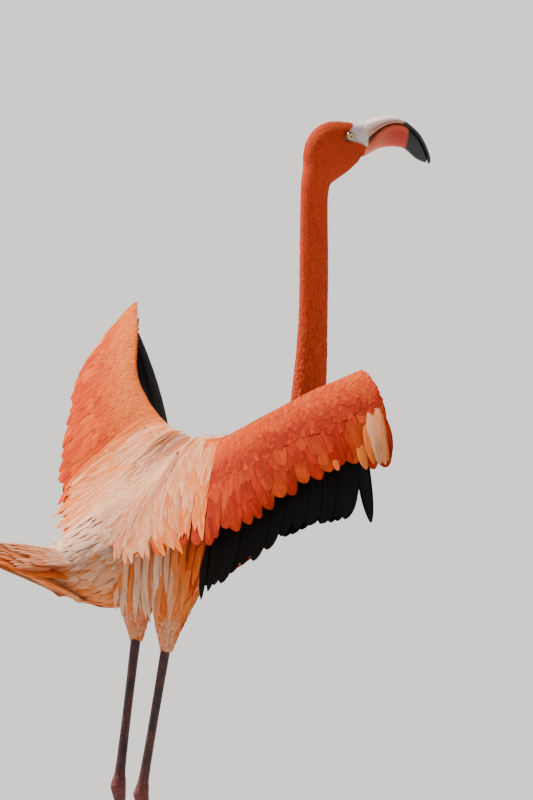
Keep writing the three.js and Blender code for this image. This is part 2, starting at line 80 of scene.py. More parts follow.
# Where the small feathers stop: heights on the leg and the shoulder, x at the tail, how far forward in the
# head at the bill, and how far out on the arm and the shoulder.
COAT_ENDS = {"leg": -272, "tail": -296, "bill": 60, "arm": 92, "shoulder": 70, "shoulder_height": -30}

# Bill lines in the head's middle plane: forward and up of one edge, forward and up of the other, half width.
BILL_UPPER = [
    [56, 33.5, 56, 4, 11.8], [66, 37, 66, 12, 11.2], [80, 40, 80, 22.5, 10.2], [96, 41, 96, 29, 9.5],
    [110, 38.3, 110, 28.8, 9], [122.8, 30.5, 119, 24.5, 8.5], [135, 20, 130, 15.5, 8],
    [144.5, 9, 139, 5.5, 7.5], [153.5, -8, 147.5, -9.5, 6.3], [159, -24, 153.5, -24, 4.3],
    [158.2, -31.5, 155, -31, 1.6],
]
BILL_LOWER = [
    [56, 3, 56, -13, 12], [66, 9, 66, -9, 12.2], [80, 21.8, 80, -3.5, 12.6], [95, 28.7, 96, -2.6, 13],
    [108.2, 29.6, 109, -4, 12.5], [119.3, 25.8, 120, -8, 11.5], [130.8, 16.5, 128, -15, 10],
    [139.5, 6, 135, -21.5, 8], [147.7, -9.5, 143, -26.5, 6], [153.3, -24.2, 150.5, -29.5, 3.2],
]
# Grooves in the horn: place down the side, width, depth, and where along the bill each one starts and ends.
UPPER_GROOVES = [
    [0.42, 0.035, 0.8, (0.03, 0.08), (0.42, 0.52)], [0.55, 0.045, 1.0, (0.10, 0.13), (0.28, 0.33)],
    [0.72, 0.03, 0.6, (0.04, 0.10), (0.5, 0.6)],
]
LOWER_GROOVES = [[place, 0.018, 0.35, (0.15, 0.3), (0.75, 0.9)] for place in (0.45, 0.58, 0.70)]
EYE = {"forward": 32, "up": 20, "side": 14.0, "radius": 6.5, "iris": 4.9, "pupil": 1.9, "opening": 4.7}
# Where bare skin begins on the face: heights over the skull's middle, and how far forward it starts there.
BARE_FROM = [
    [-20, -5, 0, 5, 10, 13, 16, 20, 24, 28, 34, 40],
    [70, 63, 60, 54, 44, 30, 26, 25, 27, 35, 42, 44],
]
# Folds of the bare face: slope, where each one starts and ends, depth.
FACE_FOLDS = [(0.55, 34, 58, 0.5), (0.35, 40, 60, 0.35), (0.8, 38, 57, 0.35)]
FACE_ROOT = {"middle": 13.0, "tall": 22.5, "wide": 12.4}  # the oval that the bill grows from

LEADING_EDGE = [[-46, 24, 17], [-38, 76, 27], [-34, 116, 47], [-20, 162, 76], [19, 216, 115], [56, 271, 147]]
COVERT_EDGE = [
    [-216, 50, -124], [-150, 164, -98], [-112, 218, -63], [-64, 273, -17], [-14, 327, 17], [42, 371, 39],
]
WING = {"camber": 17, "camber_root": 5, "thick": 27, "thick_wrist": 15, "edge": 3}
WING_SPAN = 305, 450  # from body to wrist along the leading edge and along the coverts' ends
# How far the bent wrist rounds out past a straight end: side 1 is left, and -1 right, held further forward.
WRIST_SWELL = {1: np.array([0, -9, -5]), -1: np.array([11.5, 12.5, 9.5])}
# How far back the paler band reaches on each wing, how pale it is, and how deep the red behind it. The paler
# bands are partly painted light, most of all on the left wing, and the right wing's deep red behind its band
# is mostly painted shade.
WING_MARKS_AND_PAINTED_LIGHT = {1: (0.30, 0.38, 0.15), -1: (0.16, 0.14, 1.0)}
# Rows of long feathers: where they start along the wing, where they leave it and bend, and how deep under its
# middle they lie there. Negative depths are over it.
SECONDARIES = {"from": 0.235, "to": 0.86, "root": 0.3, "bend": 0.86, "root_depth": 9, "bend_depth": 5}
TERTIALS = {"from": 0.02, "to": 0.222, "root": 0.42, "bend": 1.0, "root_depth": 9, "bend_depth": 5}
PLUMES = {"from": 0.0, "to": 0.24, "root": 0.40, "bend": 0.95, "root_depth": -3, "bend_depth": -7}
STREAMERS = {"from": 0.0, "to": 0.20, "root": 0.45, "bend": 0.95, "root_depth": -4.5, "bend_depth": -15}
SECONDARY_TIPS = [[-134, 160, -164], [-125, 184, -143], [-98, 232, -104], [-52, 284, -52], [-10, 326, -45]]
TERTIAL_TIPS = [[-212, 60, -194], [-176, 88, -206], [-150, 110, -204], [-134, 138, -168]]
# Layers of the long inner feathers: row, count, reach, half width, lift, and how far out the layer goes.
TERTIAL_LAYERS = [
    (TERTIALS, 20, 1.0, 6.2, 0.0, 1.0), (TERTIALS, 18, 0.88, 5.6, 3.0, 1.0),
    (PLUMES, 22, 0.93, 5.0, 0.0, 0.92), (PLUMES, 20, 0.80, 4.6, 1.0, 0.84),
    (PLUMES, 18, 0.66, 4.4, 1.6, 0.76),
    (STREAMERS, 15, 0.95, 4.8, 0.0, 0.80), (STREAMERS, 12, 0.74, 4.4, 1.5, 0.70),
]
# The mantle's surface between the wings: how far forward it bows, and how much it is raised beside the wings.
SADDLE_FORWARD, SADDLE_RISE = 14, 26
PRIMARY_ROOT = [50, 262, 100]
# Primaries, front one first: tip, the way the front edge faces in plan in degrees, half width, and how far
# the vane's middle lies behind the line from root to tip.
PRIMARIES = [
    [94, 242, -76, 24, 10.5, 0], [4, 291, -52, 44, 13, 8], [-4, 287, -54, 46, 14, 11],
    [-15, 280, -56, 50, 14, 14], [-26, 272, -58, 54, 14, 17], [-36, 264, -65, 57, 14, 19],
    [-46, 256, -72, 59, 14, 21], [-54, 250, -76, 60, 13, 23],
]
# The left wing, seen against the light from behind, spreads these between its first two.
PRIMARIES_BETWEEN = [
    [84, 248, -77, 27, 14, 1], [70, 257, -74, 31, 15, 2], [52, 268, -70, 36, 16, 4],
    [28, 280, -60, 40, 16, 6],
]
TAIL = {"x": -246, "height": -117, "length": 158, "rise": 0.26, "width_root": 27, "width_tip": 50,
        "droop": 32, "thick_root": 58, "thick_tip": 3}

THIGH_END = np.array([-107, 37, -274])
ANKLE = np.array([-145, 28, -474])
FOOT = np.array([-92, 47, FLOOR])
SHANK_RADIUS, ANKLE_RADIUS, TARSUS_RADIUS, FOOT_TOP = 6.3, 10.6, 5.5, 12
PLATE_LENGTH = 5.2  # of the scales down the front of the leg
TOE_OUT = 7
TOES = [[-30, 68], [0, 86], [31, 74]]  # degrees from straight ahead, length
WEB_THICKNESS = 1.8
HIND_TOE = 180  # degrees from straight ahead

rng = np.random.default_rng(11)

# ---------------------------------------------------------------- small maths


def unit(v):
    return v / np.maximum(np.linalg.norm(v, axis=-1, keepdims=True), 1e-9)


def lerp(a, b, t):
    return a + (b - a) * t


def smoothstep(x, low, high):
    t = np.clip((x - low) / (high - low), 0, 1)
    return t * t * (3 - 2 * t)


def window(x, rise, fall):
    """1 between two smooth steps, each given as (low, high)."""
    return smoothstep(x, *rise) * (1 - smoothstep(x, *fall))


def hill(x, middle, width):
    """1 at the middle, falling off to both sides."""
    return np.exp(-(((x - middle) / width) ** 2))


def stacked(*parts):
    """Numbers and arrays side by side on a new last axis."""
    return np.stack(np.broadcast_arrays(*parts), -1)


def stray(spread, *shape):
    """Chance numbers about 0."""
    return spread * rng.standard_normal(shape)


def along(rows, t):
    """A smooth pass through rows of numbers, at t from 0 to 1, which may be an array."""
    rows = np.asarray(rows, float)
    place = np.clip(np.asarray(t, float), 0, 1) * (len(rows) - 1)
    i = np.minimum(place.astype(int), len(rows) - 2)
    f = (place - i)[..., None]
    a, b = rows[i], rows[i + 1]
    slope_a = (b - rows[np.maximum(i - 1, 0)]) / 2
    slope_b = (rows[np.minimum(i + 2, len(rows) - 1)] - a) / 2
    bend = 3 * (b - a) - 2 * slope_a - slope_b
    twist = 2 * (a - b) + slope_a + slope_b
    return a + f * (slope_a + f * (bend + f * twist))


def to_frame(points):
    """Layout millimetres to the frame's metres."""
    return (np.asarray(points, float) + BACK) / 1000


turn = np.array([
    [math.cos(HEAD_YAW), -math.sin(HEAD_YAW), 0], [math.sin(HEAD_YAW), math.cos(HEAD_YAW), 0], [0, 0, 1],
])


def from_head(points):
    """Head millimetres (forward, left, up from the middle of the skull) to the layout."""
    return np.asarray(points, float) @ turn.T + SKULL


def to_head(points):
    return (np.asarray(points, float) - SKULL) @ turn


# ---------------------------------------------------------------- materials


def maths(operation, reflected=False):
    """A method of Value that adds one Math node."""

    def method(self, *others):
        values = (*others, self) if reflected else (self, *others)
        return self.paint.node("ShaderNodeMath", {"operation": operation}, dict(enumerate(values)))

    return method


class Value:
    """A number on a shader socket. Sums of it add Math nodes."""

    def __init__(self, paint, socket):
        self.paint, self.socket = paint, socket

    __add__ = __radd__ = maths("ADD")
    __mul__ = __rmul__ = maths("MULTIPLY")
    __sub__ = maths("SUBTRACT")
    __rsub__ = maths("SUBTRACT", reflected=True)
    __pow__ = maths("POWER")
    abs = maths("ABSOLUTE")
    wave = maths("SINE")
    at_least = maths("MAXIMUM")

    def step(self, low, high):
        """0 below low, 1 above high, smooth between."""
        inputs = {"Value": self, "From Min": low, "From Max": high}
        return self.paint.node("ShaderNodeMapRange", {"interpolation_type": "SMOOTHSTEP"}, inputs)


class Paint:
    """A material and the nodes that feed its one Principled shader."""

    def __init__(self, name, **constants):
        self.material = bpy.data.materials.new(name)
        self.material.use_nodes = True
        self.tree = self.material.node_tree
        self.shader = self.tree.nodes["Principled BSDF"]
        self.finish(**constants)

    def node(self, kind, settings=None, inputs=None, output=0):
        made = self.tree.nodes.new(kind)
        for key, value in (settings or {}).items():
            setattr(made, key, value)
        for key, value in (inputs or {}).items():
            self.join(value, made.inputs[key])
        return Value(self, made.outputs[output])

    def join(self, value, socket):
        if isinstance(value, Value):
            self.tree.links.new(value.socket, socket)
        elif socket.type == "RGBA":
            socket.default_value = (*value, 1)
        else:
            socket.default_value = value

    def finish(self, **sockets):
        """Values and links for the shader's own sockets."""
        for socket, value in sockets.items():
            self.join(value, self.shader.inputs[socket.replace("_", " ")])
        return self.material

    def parts(self, attribute):
        """The three numbers of a piece's own attribute."""
        vector = self.node("ShaderNodeAttribute", {"attribute_name": attribute}, output="Vector")
        split = self.node("ShaderNodeSeparateXYZ", inputs={0: vector}).socket.node
        return [Value(self, split.outputs[k]) for k in range(3)]

    def place(self, *scale):
        """The piece's own place in metres, stretched by one number or three."""
        scale = scale if len(scale) == 3 else scale * 3
        spot = self.node("ShaderNodeTexCoord", output="Object")
        return self.node("ShaderNodeVectorMath", {"operation": "MULTIPLY"}, {0: spot, 1: scale})

    def noise(self, vector, detail, rough=0.5):
        if isinstance(vector, tuple):
            vector = self.node("ShaderNodeCombineXYZ", inputs=dict(enumerate(vector)))
        inputs = {"Vector": vector, "Scale": 1.0, "Detail": detail, "Roughness": rough}
        return self.node("ShaderNodeTexNoise", inputs=inputs)

    def cells(self, vector, feature="F1"):
        return self.node("ShaderNodeTexVoronoi", {"feature": feature}, {"Vector": vector, "Scale": 1.0})

    def mix(self, share, a, b):
        settings = {"data_type": "RGBA", "clamp_factor": True}
        return self.node("ShaderNodeMix", settings, {0: share, 6: a, 7: b}, output=2)

    def over(self, colour, *covers):
        """A colour with others laid over it, each after its share."""
        for share, cover in covers:
            colour = self.mix(share, colour, cover)
        return colour

    def tone(self, colour, light):
        """A colour made darker or lighter by a number."""
        grey = self.node("ShaderNodeCombineColor", inputs={0: light, 1: light, 2: light})
        settings = {"data_type": "RGBA", "blend_type": "MULTIPLY"}
        return self.node("ShaderNodeMix", settings, {0: 1.0, 6: colour, 7: grey}, output=2)

    def bump(self, height, distance):
        return self.node("ShaderNodeBump", inputs={"Height": height, "Distance": distance})


def srgb(red, green, blue):
    """A colour as seen on a screen, 0 to 255, to the linear one that shaders take."""
    return tuple(((c / 255 + 0.055) / 1.055) ** 2.4 if c > 10 else c / 3294.6 for c in (red, green, blue))


FLAME = srgb(210, 48, 3)
EMBER = srgb(158, 25, 4)
CORAL = srgb(216, 60, 40)
PEACH = srgb(248, 120, 44)
SHELL = srgb(255, 196, 160)
SUNLIT = srgb(234, 78, 5)


def plumage_colour(paint, tip, chance):
    """The markings that skin and coat share: pale, rosy and deep shares over the orange red."""
    pale, rosy, deep = paint.parts("mark")
    patch = paint.noise(paint.place(45), detail=3)
    share = (pale + tip) * 2
    return paint.over(FLAME, (1.3 * patch + 0.4 * chance - 0.55, SUNLIT), (rosy, CORAL), (deep, EMBER),
                      (share**1.5, PEACH), (share - 1, SHELL))


def plumage(name, strand=0.5, tip_light=0.05, edge_light=0.06, streak=0.0, contrast=0.75, relief=0.0003):
    """Soft feathers: strands and orange streaks along the vane, a little paler to the tip and edge."""
    paint = Paint(name, Specular_IOR_Level=0.05, Subsurface_Weight=0.25, Subsurface_Scale=0.004,
                  Subsurface_Radius=(1.0, 0.35, 0.2), Sheen_Weight=0.06, Sheen_Roughness=0.5,
                  Sheen_Tint=(1.0, 0.4, 0.2))
    across, down, chance = paint.parts("vane")
    tip, rim, _ = paint.parts("blade")
    rise = tip_light * (tip**3) + edge_light * (rim**3) * tip
    colour = plumage_colour(paint, rise, chance)
    strands = paint.noise((across * strand, down * 0.03, chance * 40), detail=3, rough=0.6)
    barbs = paint.noise((across * 3, down * 0.25, chance * 40), detail=1)
    colour = paint.mix(strands.step(0.5, 0.75) * streak, colour, FLAME)
    light = 0.92 + contrast * (strands - 0.5) + 0.3 * (barbs - 0.5) + 0.10 * (chance - 0.5)
    normal = paint.bump(strands + 0.5 * barbs, relief)
    return paint.finish(Base_Color=paint.tone(colour, light), Roughness=0.62 + 0.2 * strands, Normal=normal)


def flight_feather():
    """Black vanes: barbs in slanting lines, a pale brown shaft and a soft gloss."""
    paint = Paint("flight_feather", Specular_IOR_Level=0.12)
    across, down, chance = paint.parts("vane")
    slant = down * 0.9 - across.abs()
    ridges = (slant * (math.tau / 1.3)).wave()
    streak = paint.noise((across * 1.4, down * 0.08, chance * 40), detail=3)
    shaft = 1 - across.abs().step(0.35, 0.8)
    black, sheen, brown = (0.0016, 0.0014, 0.0014), (0.008, 0.006, 0.005), (0.02, 0.011, 0.007)
    colour = paint.over(black, (0.7 * streak, sheen), (shaft * 0.5, brown))
    normal = paint.bump(0.5 + 0.35 * ridges + 0.4 * streak + 1.5 * shaft, 0.0003)
    return paint.finish(Base_Color=colour, Roughness=0.5 + 0.2 * streak, Normal=normal)


def skin_surface():
    """Skin: the plumage's own colours where feathers cover it, and pale bare skin about the eye and bill,
    with painted shade in the folds of the face.
    """
    paint = Paint("skin", Specular_IOR_Level=0.3)
    bare, lid, crease = paint.parts("bare")
    under = plumage_colour(paint, 0.0, 0.5)
    pores = paint.cells(paint.place(900))
    mottle = paint.noise(paint.place(160), detail=4)
    # The folds of the bare face are darkened with painted shade.
    face = paint.over(srgb(226, 214, 210), (mottle, srgb(196, 176, 172)), (crease, srgb(150, 96, 88)),
                      (lid, srgb(150, 128, 120)))
    colour = paint.mix(bare, under, paint.tone(face, 0.85 + 0.2 * pores))
    wrinkle = paint.noise(paint.place(500, 500, 1500), detail=2)
    normal = paint.bump(pores * 0.5 + wrinkle, 0.0004)
    return paint.finish(Base_Color=colour, Roughness=0.6 - 0.1 * mottle, Normal=normal)


def leg_skin():
    """Scaled legs: dull wine grey, redder at the joints, with fine plates."""
    paint = Paint("leg_skin", Specular_IOR_Level=0.4)
    joint, web, _ = paint.parts("bare")
    plates = paint.cells(paint.place(260, 260, 190), "DISTANCE_TO_EDGE")
    seam = 1 - plates.step(0.02, 0.16)
    mottle = paint.noise(paint.place(70, 70, 40), detail=4)
    colour = paint.over(srgb(92, 42, 38), (mottle.step(0.35, 0.65), srgb(46, 30, 33)),
                        (joint * (0.4 + 0.5 * mottle), srgb(140, 50, 44)), (web, srgb(112, 60, 56)),
                        (seam * 0.6, srgb(30, 18, 20)))
    normal = paint.bump(plates.step(0.0, 0.3) + 0.3 * mottle, 0.0005)
    return paint.finish(Base_Color=colour, Roughness=0.5 + 0.15 * mottle, Normal=normal)


def bill_horn(name, lower):
    """Horn: pale and pink at the base, red on the lower half, black at the tip and along the cutting edge,
    with painted highlights on top of the upper ridge and along the lower half's top edge, and painted shade
    in the grooves.
    """
    paint = Paint(name, Specular_IOR_Level=0.45, Coat_Weight=0.18, Coat_Roughness=0.3)
    run, down, groove = paint.parts("horn")
    grain = paint.noise((run * 9, down * 26, 0.3), detail=4)
    soft = paint.noise((run * 14, down * 5, 4.0), detail=3)
    ragged_run = run + 0.06 * down + 0.03 * (grain - 0.5)
    if lower:
        dark = ragged_run.step(0.57, 0.61)
        # The paler red along the lower half's top edge is painted light.
        colour = paint.over(srgb(230, 122, 84), (run.step(0.05, 0.42), srgb(194, 36, 15)),
                            ((1 - down.step(0.05, 0.3)) * 0.7, srgb(232, 104, 64)),
                            (down.step(0.7, 0.95) * 0.6, srgb(224, 70, 30)))
    else:
        dark = ragged_run.step(0.45, 0.50).at_least(down.step(0.78, 0.85) * run.step(0.02, 0.10))
        # A painted highlight: near-white grey on top of the ridge where it bends down.
        painted_ridge_highlight = run.step(0.26, 0.42) * (1 - down.step(0.25, 0.5))
        colour = paint.over(srgb(236, 208, 194), (down.step(0.2, 0.6), srgb(208, 138, 114)),
                            (painted_ridge_highlight * 0.8, srgb(222, 222, 220)))
    # Painted shade: the grooves and the nostril slit are darkened to a deep red brown.
    colour = paint.mix(groove * 0.9, colour, srgb(104, 34, 28))
    colour = paint.mix(dark, paint.tone(colour, 0.88 + 0.24 * soft), srgb(16, 13, 13))
    normal = paint.bump(grain, 0.0003)
    return paint.finish(Base_Color=colour, Roughness=0.38 + 0.16 * soft, Normal=normal)


def eye_surface():
    """A pale yellow iris with fine spokes round a black pupil, under a wet coat."""
    paint = Paint("eye", Specular_IOR_Level=0.6, Coat_Weight=1.0, Coat_Roughness=0.04)
    ring, around, _ = paint.parts("ball")
    spokes = paint.noise((around * 24, ring * 1.5, 0.0), detail=3)
    rim = ring.step(EYE["iris"] - 0.9, EYE["iris"])
    pupil = 1 - ring.step(EYE["pupil"] - 0.15, EYE["pupil"] + 0.1)
    colour = paint.over(srgb(232, 206, 110), (spokes, srgb(196, 150, 60)), (rim, srgb(60, 36, 24)),
                        (pupil, (0.003, 0.003, 0.003)))
    return paint.finish(Base_Color=colour, Roughness=0.12)


def claw_horn():
    paint = Paint("claw", Specular_IOR_Level=0.45)
    grain = paint.noise(paint.place(900, 900, 300), detail=3)
    colour = paint.mix(grain, srgb(28, 22, 22), srgb(70, 52, 48))
    return paint.finish(Base_Color=colour, Roughness=0.35 + 0.2 * grain, Normal=paint.bump(grain, 0.0002))


# ---------------------------------------------------------------- meshes


def mesh_of(name, points, faces, material, **vectors):
    """A smooth mesh object from layout points, arrays of equal faces and a vector for each point."""
    mesh = bpy.data.meshes.new(name)
    points = np.reshape(points, (-1, 3))
    corners = np.concatenate([block.ravel() for block in faces])
    sizes = np.concatenate([np.full(len(block), block.shape[1]) for block in faces])
    mesh.vertices.add(len(points))
    mesh.vertices.foreach_set("co", to_frame(points).astype(np.float32).ravel())
    mesh.loops.add(len(corners))
    mesh.loops.foreach_set("vertex_index", corners.astype(np.int32))
    mesh.polygons.add(len(sizes))
    mesh.polygons.foreach_set("loop_start", (np.cumsum(sizes) - sizes).astype(np.int32))
    mesh.update(calc_edges=True)
    shade_smooth(mesh)
    mesh.materials.append(material)
    write_vectors(mesh, **vectors)
    return placed(name, mesh)


def placed(name, mesh):
    made = bpy.data.objects.new(name, mesh)
    bpy.context.scene.collection.objects.link(made)
    return made


def shade_smooth(mesh):
    mesh.polygons.foreach_set("use_smooth", np.ones(len(mesh.polygons), bool))


def write_vectors(mesh, **vectors):
    for name, values in vectors.items():
        attribute = mesh.attributes.new(name, "FLOAT_VECTOR", "POINT")
        attribute.data.foreach_set("vector", np.ascontiguousarray(values, np.float32).ravel())


def points_of(mesh):
    values = np.empty(len(mesh.vertices) * 3, np.float32)
    mesh.vertices.foreach_get("co", values)
    return values.reshape(-1, 3).astype(float) * 1000 - BACK


def keep(piece, slot, *nodes):
    """Hangs a piece on the root body and hides the solids it stands for. Its slot is not used."""
    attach(piece, "root")
    if nodes:
        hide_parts(*nodes)


def ring_faces(rings, around, start=0):
    """Quads over rings of points, and the two end faces."""
    r, k = np.indices((rings - 1, around))
    a = start + r * around + k
    b = start + r * around + (k + 1) % around
    quads = np.stack([a, b, b + around, a + around], -1).reshape(-1, 4)
    ends = np.stack([np.arange(around)[::-1], np.arange(around) + (rings - 1) * around]) + start
    return quads, ends


def tube(centres, across, up, half_across, half_up, around):
    """Rings of an oval about a line of centres: points as (rings, around, 3)."""
    angle = math.tau * np.arange(around) / around
    half_across, half_up = (np.broadcast_to(h, len(centres))[:, None, None] for h in (half_across, half_up))
    across, up = (np.broadcast_to(v, (len(centres), 3))[:, None] for v in (across, up))
    c, s = np.cos(angle)[:, None], np.sin(angle)[:, None]
    return centres[:, None] + across * half_across * c + up * half_up * s


# ---------------------------------------------------------------- feather vanes

TUFT_PATCH = 0.003  # size of one tuft on the bake map
ROUNDNESS = 0.3  # how far a vane's shading turns to its sides
# Rows along a vane, and its share of the full width at each.
SMALL_ROWS = [0, 0.4, 0.8, 1]
SMALL_ROUND = [0.45, 1, 0.8, 0.2]
BODY_ROWS = [0, 0.3, 0.6, 0.85, 1]
BODY_ROUND = [0.4, 0.9, 1, 0.72, 0.16]
BODY_POINTED = [0.4, 0.95, 0.85, 0.45, 0.06]
LARGE_ROWS = np.array([0, 0.12, 0.25, 0.4, 0.55, 0.7, 0.82, 0.91, 0.97, 1])
LARGE_ROUND = np.array([0.3, 0.62, 0.82, 0.95, 1, 0.98, 0.88, 0.68, 0.4, 0.12])
LARGE_BLUNT = np.array([0.3, 0.62, 0.84, 0.97, 1, 0.93, 0.78, 0.56, 0.32, 0.09])
LARGE_POINTED = np.array([0.3, 0.62, 0.85, 1, 0.97, 0.8, 0.58, 0.36, 0.16, 0.04])
FLIGHT_ROWS = np.array([0, 0.15, 0.3, 0.42, 0.54, 0.65, 0.75, 0.83, 0.89, 0.94, 0.975, 1])
FLIGHT_ROUND = np.array([0.5, 0.75, 0.92, 1, 1, 1, 0.97, 0.92, 0.82, 0.64, 0.42, 0.14])
FLIGHT_POINTED = np.array([0.5, 0.8, 0.95, 1, 0.98, 0.92, 0.82, 0.68, 0.52, 0.34, 0.18, 0.05])


class Coat:
    """Closed vanes gathered for one joined mesh, and mirrored to the right where side is -1."""

    def __init__(self, name, side=1, columns=5, patch=4):
        self.name, self.side, self.columns = name, side, columns
        self.patch = patch * TUFT_PATCH
        self.sets = []

    def add(self, spine, up, half, mark, spot, crown, thick=0.25, roll=0.0):
        """spine and up: (vanes, rows, 3). half: (vanes, rows). mark: (vanes, 3). spot: on the bake map."""
        flip = [1, self.side, 1]
        spine, up = spine * flip, up * flip
        count = len(spine)
        tangent = unit(np.gradient(spine, axis=1))
        up = unit(up - (up * tangent).sum(-1, keepdims=True) * tangent)
        side = np.cross(tangent, up)
        roll, crown = (np.broadcast_to(value, count)[:, None, None] for value in (roll, crown))
        side, up = side * np.cos(roll) - up * np.sin(roll), up * np.cos(roll) + side * np.sin(roll)
        top = np.linspace(-1, 1, self.columns)
        across = np.concatenate([top, top[-2:0:-1]])
        drop = np.repeat([0.0, 1.0], [self.columns, self.columns - 2])
        wide = half[:, :, None] * across
        height = crown * (1 - across**2) - thick * drop
        points = spine[:, :, None] + side[:, :, None] * wide[..., None] + up[:, :, None] * height[..., None]
        steps = np.linalg.norm(np.diff(spine, axis=1), axis=-1)
        length = np.concatenate([np.zeros((count, 1)), steps], 1).cumsum(1)
        share = length / length[:, -1:]
        chance = rng.random(count)[:, None, None]
        vane = stacked(wide, length[:, :, None], chance)
        blade = stacked(share[:, :, None], np.abs(across), chance)
        marks = np.broadcast_to(mark[:, None, None], vane.shape)
        facing = up[:, :, None] * (1 - 2 * drop)[:, None] + side[:, :, None] * (ROUNDNESS * across)[:, None]
        u = (np.arange(len(across) + 1) / len(across) - 0.5) * self.patch
        v = (share - 0.5) * self.patch
        corners = stacked(spot[:, None, None, 0] + u, spot[:, None, None, 1] + v[:, :, None])
        self.sets.append([points, vane, blade, marks, unit(facing), corners])

    def make(self, material, slot, *nodes):
        points, vane, blade, mark, facing, corners = (np.concatenate(store) for store in zip(*self.sets))
        count, rows, around = points.shape[:3]
        quad, end = ring_faces(rows, around)
        r, k = (grid.ravel() for grid in np.indices((rows - 1, around)))
        # Both sides split along the same diagonal.
        order = (np.arange(4) + (k >= self.columns - 1)[:, None]) % 4
        quad = np.take_along_axis(quad, order, 1)
        first = np.arange(count)[:, None, None] * rows * around
        faces = [(quad + first).reshape(-1, 4), (end + first).reshape(-1, around)]
        made = mesh_of(self.name, points, faces, material, vane=vane, blade=blade, mark=mark)
        square = np.stack([corners[:, r + i, k + j] for i, j in ((0, 0), (0, 1), (1, 1), (1, 0))], 2)
        square = np.take_along_axis(square, order[None, :, :, None], 2)
        caps = np.stack([corners[:, 0, around - 1 :: -1], corners[:, -1, :around]], 1)
        layer = made.data.uv_layers.new(name="OFBake")
        layer.uv.foreach_set("vector", np.concatenate([square, caps], None).astype(np.float32))
        made.data.normals_split_custom_set_from_vertices(facing.reshape(-1, 3).tolist())
        keep(made, slot, *nodes)


def on_map(u, v):
    """Places on the bake map, clear of its edges."""
    return 0.02 + 0.96 * np.clip(stacked(u, v), 0, 1)


def varied(mark, pale, deep):
    """Marks with each feather a little paler or deeper than its neighbours."""
    spread = rng.standard_normal((len(mark), 2))
    return np.clip(mark + stacked(pale * spread[:, 0], 0, deep * spread[:, 1]), 0, 1)


# ---------------------------------------------------------------- wing surface


def wing_point(s, t, side):
    """On a wing's middle surface, as if on the left: s from body to wrist, t from the leading edge back."""
    s, t = np.broadcast_arrays(np.asarray(s, float), np.asarray(t, float))
    lead, edge = along(LEADING_EDGE, s), along(COVERT_EDGE, s)
    chord = edge - lead
    span = along(LEADING_EDGE, np.minimum(s + 0.05, 1)) - along(LEADING_EDGE, np.maximum(s - 0.05, 0))
    normal = unit(np.cross(span, chord))
    fore = np.clip(t, 0, 1)[..., None]
    hump = 2.6 * fore * (1 - fore) ** 0.75
    camber = lerp(WING["camber_root"], WING["camber"], smoothstep(s, 0, 0.35))[..., None]
    swell = np.sin(np.pi * fore**0.7) * smoothstep(s, 0.72, 1)[..., None]
    return lead + chord * t[..., None] + normal * camber * hump + WRIST_SWELL[side] * swell


def wing_up(s, t, side):
    """The way the wing's upper side faces."""
    step = 0.02
    across = wing_point(np.minimum(s + step, 1), t, side) - wing_point(np.maximum(s - step, 0), t, side)
    down = wing_point(s, np.clip(t + step, 0, 1), side) - wing_point(s, np.clip(t - step, 0, 1), side)
    return unit(np.cross(across, down))


def wing_half_thickness(s, t):
    fore = np.clip(t, 0, 1)
    arm = lerp(WING["thick"], WING["thick_wrist"], s * s)
    nose = np.sqrt(np.minimum(1, fore / 0.12))
    return (WING["edge"] + (arm - WING["edge"]) * nose * (1 - fore) ** 1.4) / 2


# ---------------------------------------------------------------- skin


def cad_shell(node, swell=0.5):
    """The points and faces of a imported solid, swelled a little so that neighbours melt together."""
    work = bmesh.new()
    work.from_mesh(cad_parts[node].data)
    bmesh.ops.remove_doubles(work, verts=work.verts, dist=1e-5)
    bmesh.ops.recalc_face_normals(work, faces=work.faces)
    work.normal_update()
    points = np.array([(v.co + v.normal * swell / 1000)[:] for v in work.verts]) * 1000 - BACK
    faces = [[v.index for v in f.verts] for f in work.faces]
    work.free()
    return points, faces


def lofted(rings):
    """Rings of points as a closed shell."""
    quads, ends = ring_faces(*rings.shape[:2])
    return rings.reshape(-1, 3), [*quads.tolist(), *ends.tolist()]


def arm_shell(side):
    """The flesh of the wing along its leading edge, made larger by the coat that is taken off again."""
    coat, middle = 4, 0.17
    s = np.linspace(0, 0.98, 24)
    fore = unit(wing_point(s, 0.1, side) - wing_point(s, 0.3, side))
    rings = tube(wing_point(s, middle, side), fore, wing_up(s, middle, side), lerp(26, 15, s) + coat,
                 lerp(8.5, 4.5, s) + coat, 16)
    return lofted(rings * [1, side, 1])


def tail_stump():
    share = np.linspace(0, 1, 8)
    middle = stacked(np.linspace(-230, -318, 8), 0, lerp(-140, -122, share))
    return lofted(tube(middle, LEFT, UP, lerp(30, 14, share), lerp(26, 9, share), 16))


def remeshed(name, shells, voxel, smoothing):
    """Shells melted into one even mesh."""
    points, faces, start = [], [], 0
    for shell_points, shell_faces in shells:
        points.append(shell_points)
        faces += [[i + start for i in f] for f in shell_faces]
        start += len(shell_points)
    mesh = bpy.data.meshes.new(name)
    mesh.from_pydata(to_frame(np.concatenate(points)).tolist(), [], faces)
    made = placed(name, mesh)
    remesh = made.modifiers.new("shape", "REMESH")
    remesh.mode, remesh.voxel_size = "VOXEL", voxel / 1000
    smooth = made.modifiers.new("soft", "SMOOTH")
    smooth.factor, smooth.iterations = 0.5, smoothing
    final = bpy.data.meshes.new_from_object(made.evaluated_get(bpy.context.evaluated_depsgraph_get()))
    made.modifiers.clear()
    made.data = final
    bpy.data.meshes.remove(mesh)
    return made


def coat_depth(p):
    """How far the skin lies under the feather tips."""
    depth = np.interp(p[:, 2], [-120, -20, 120, 330, 352], [4.5, 3.2, 2.2, 1.4, 1.0])
    return lerp(depth, 1.8, smoothstep(-p[:, 2], 215, 262))


def bare_share(h):
    """How bare the face is at head points."""
    edge = np.interp(h[:, 2], *BARE_FROM)
    return smoothstep(h[:, 0] - edge, -1.5, 1.5) * smoothstep(h[:, 2], -14, -6)


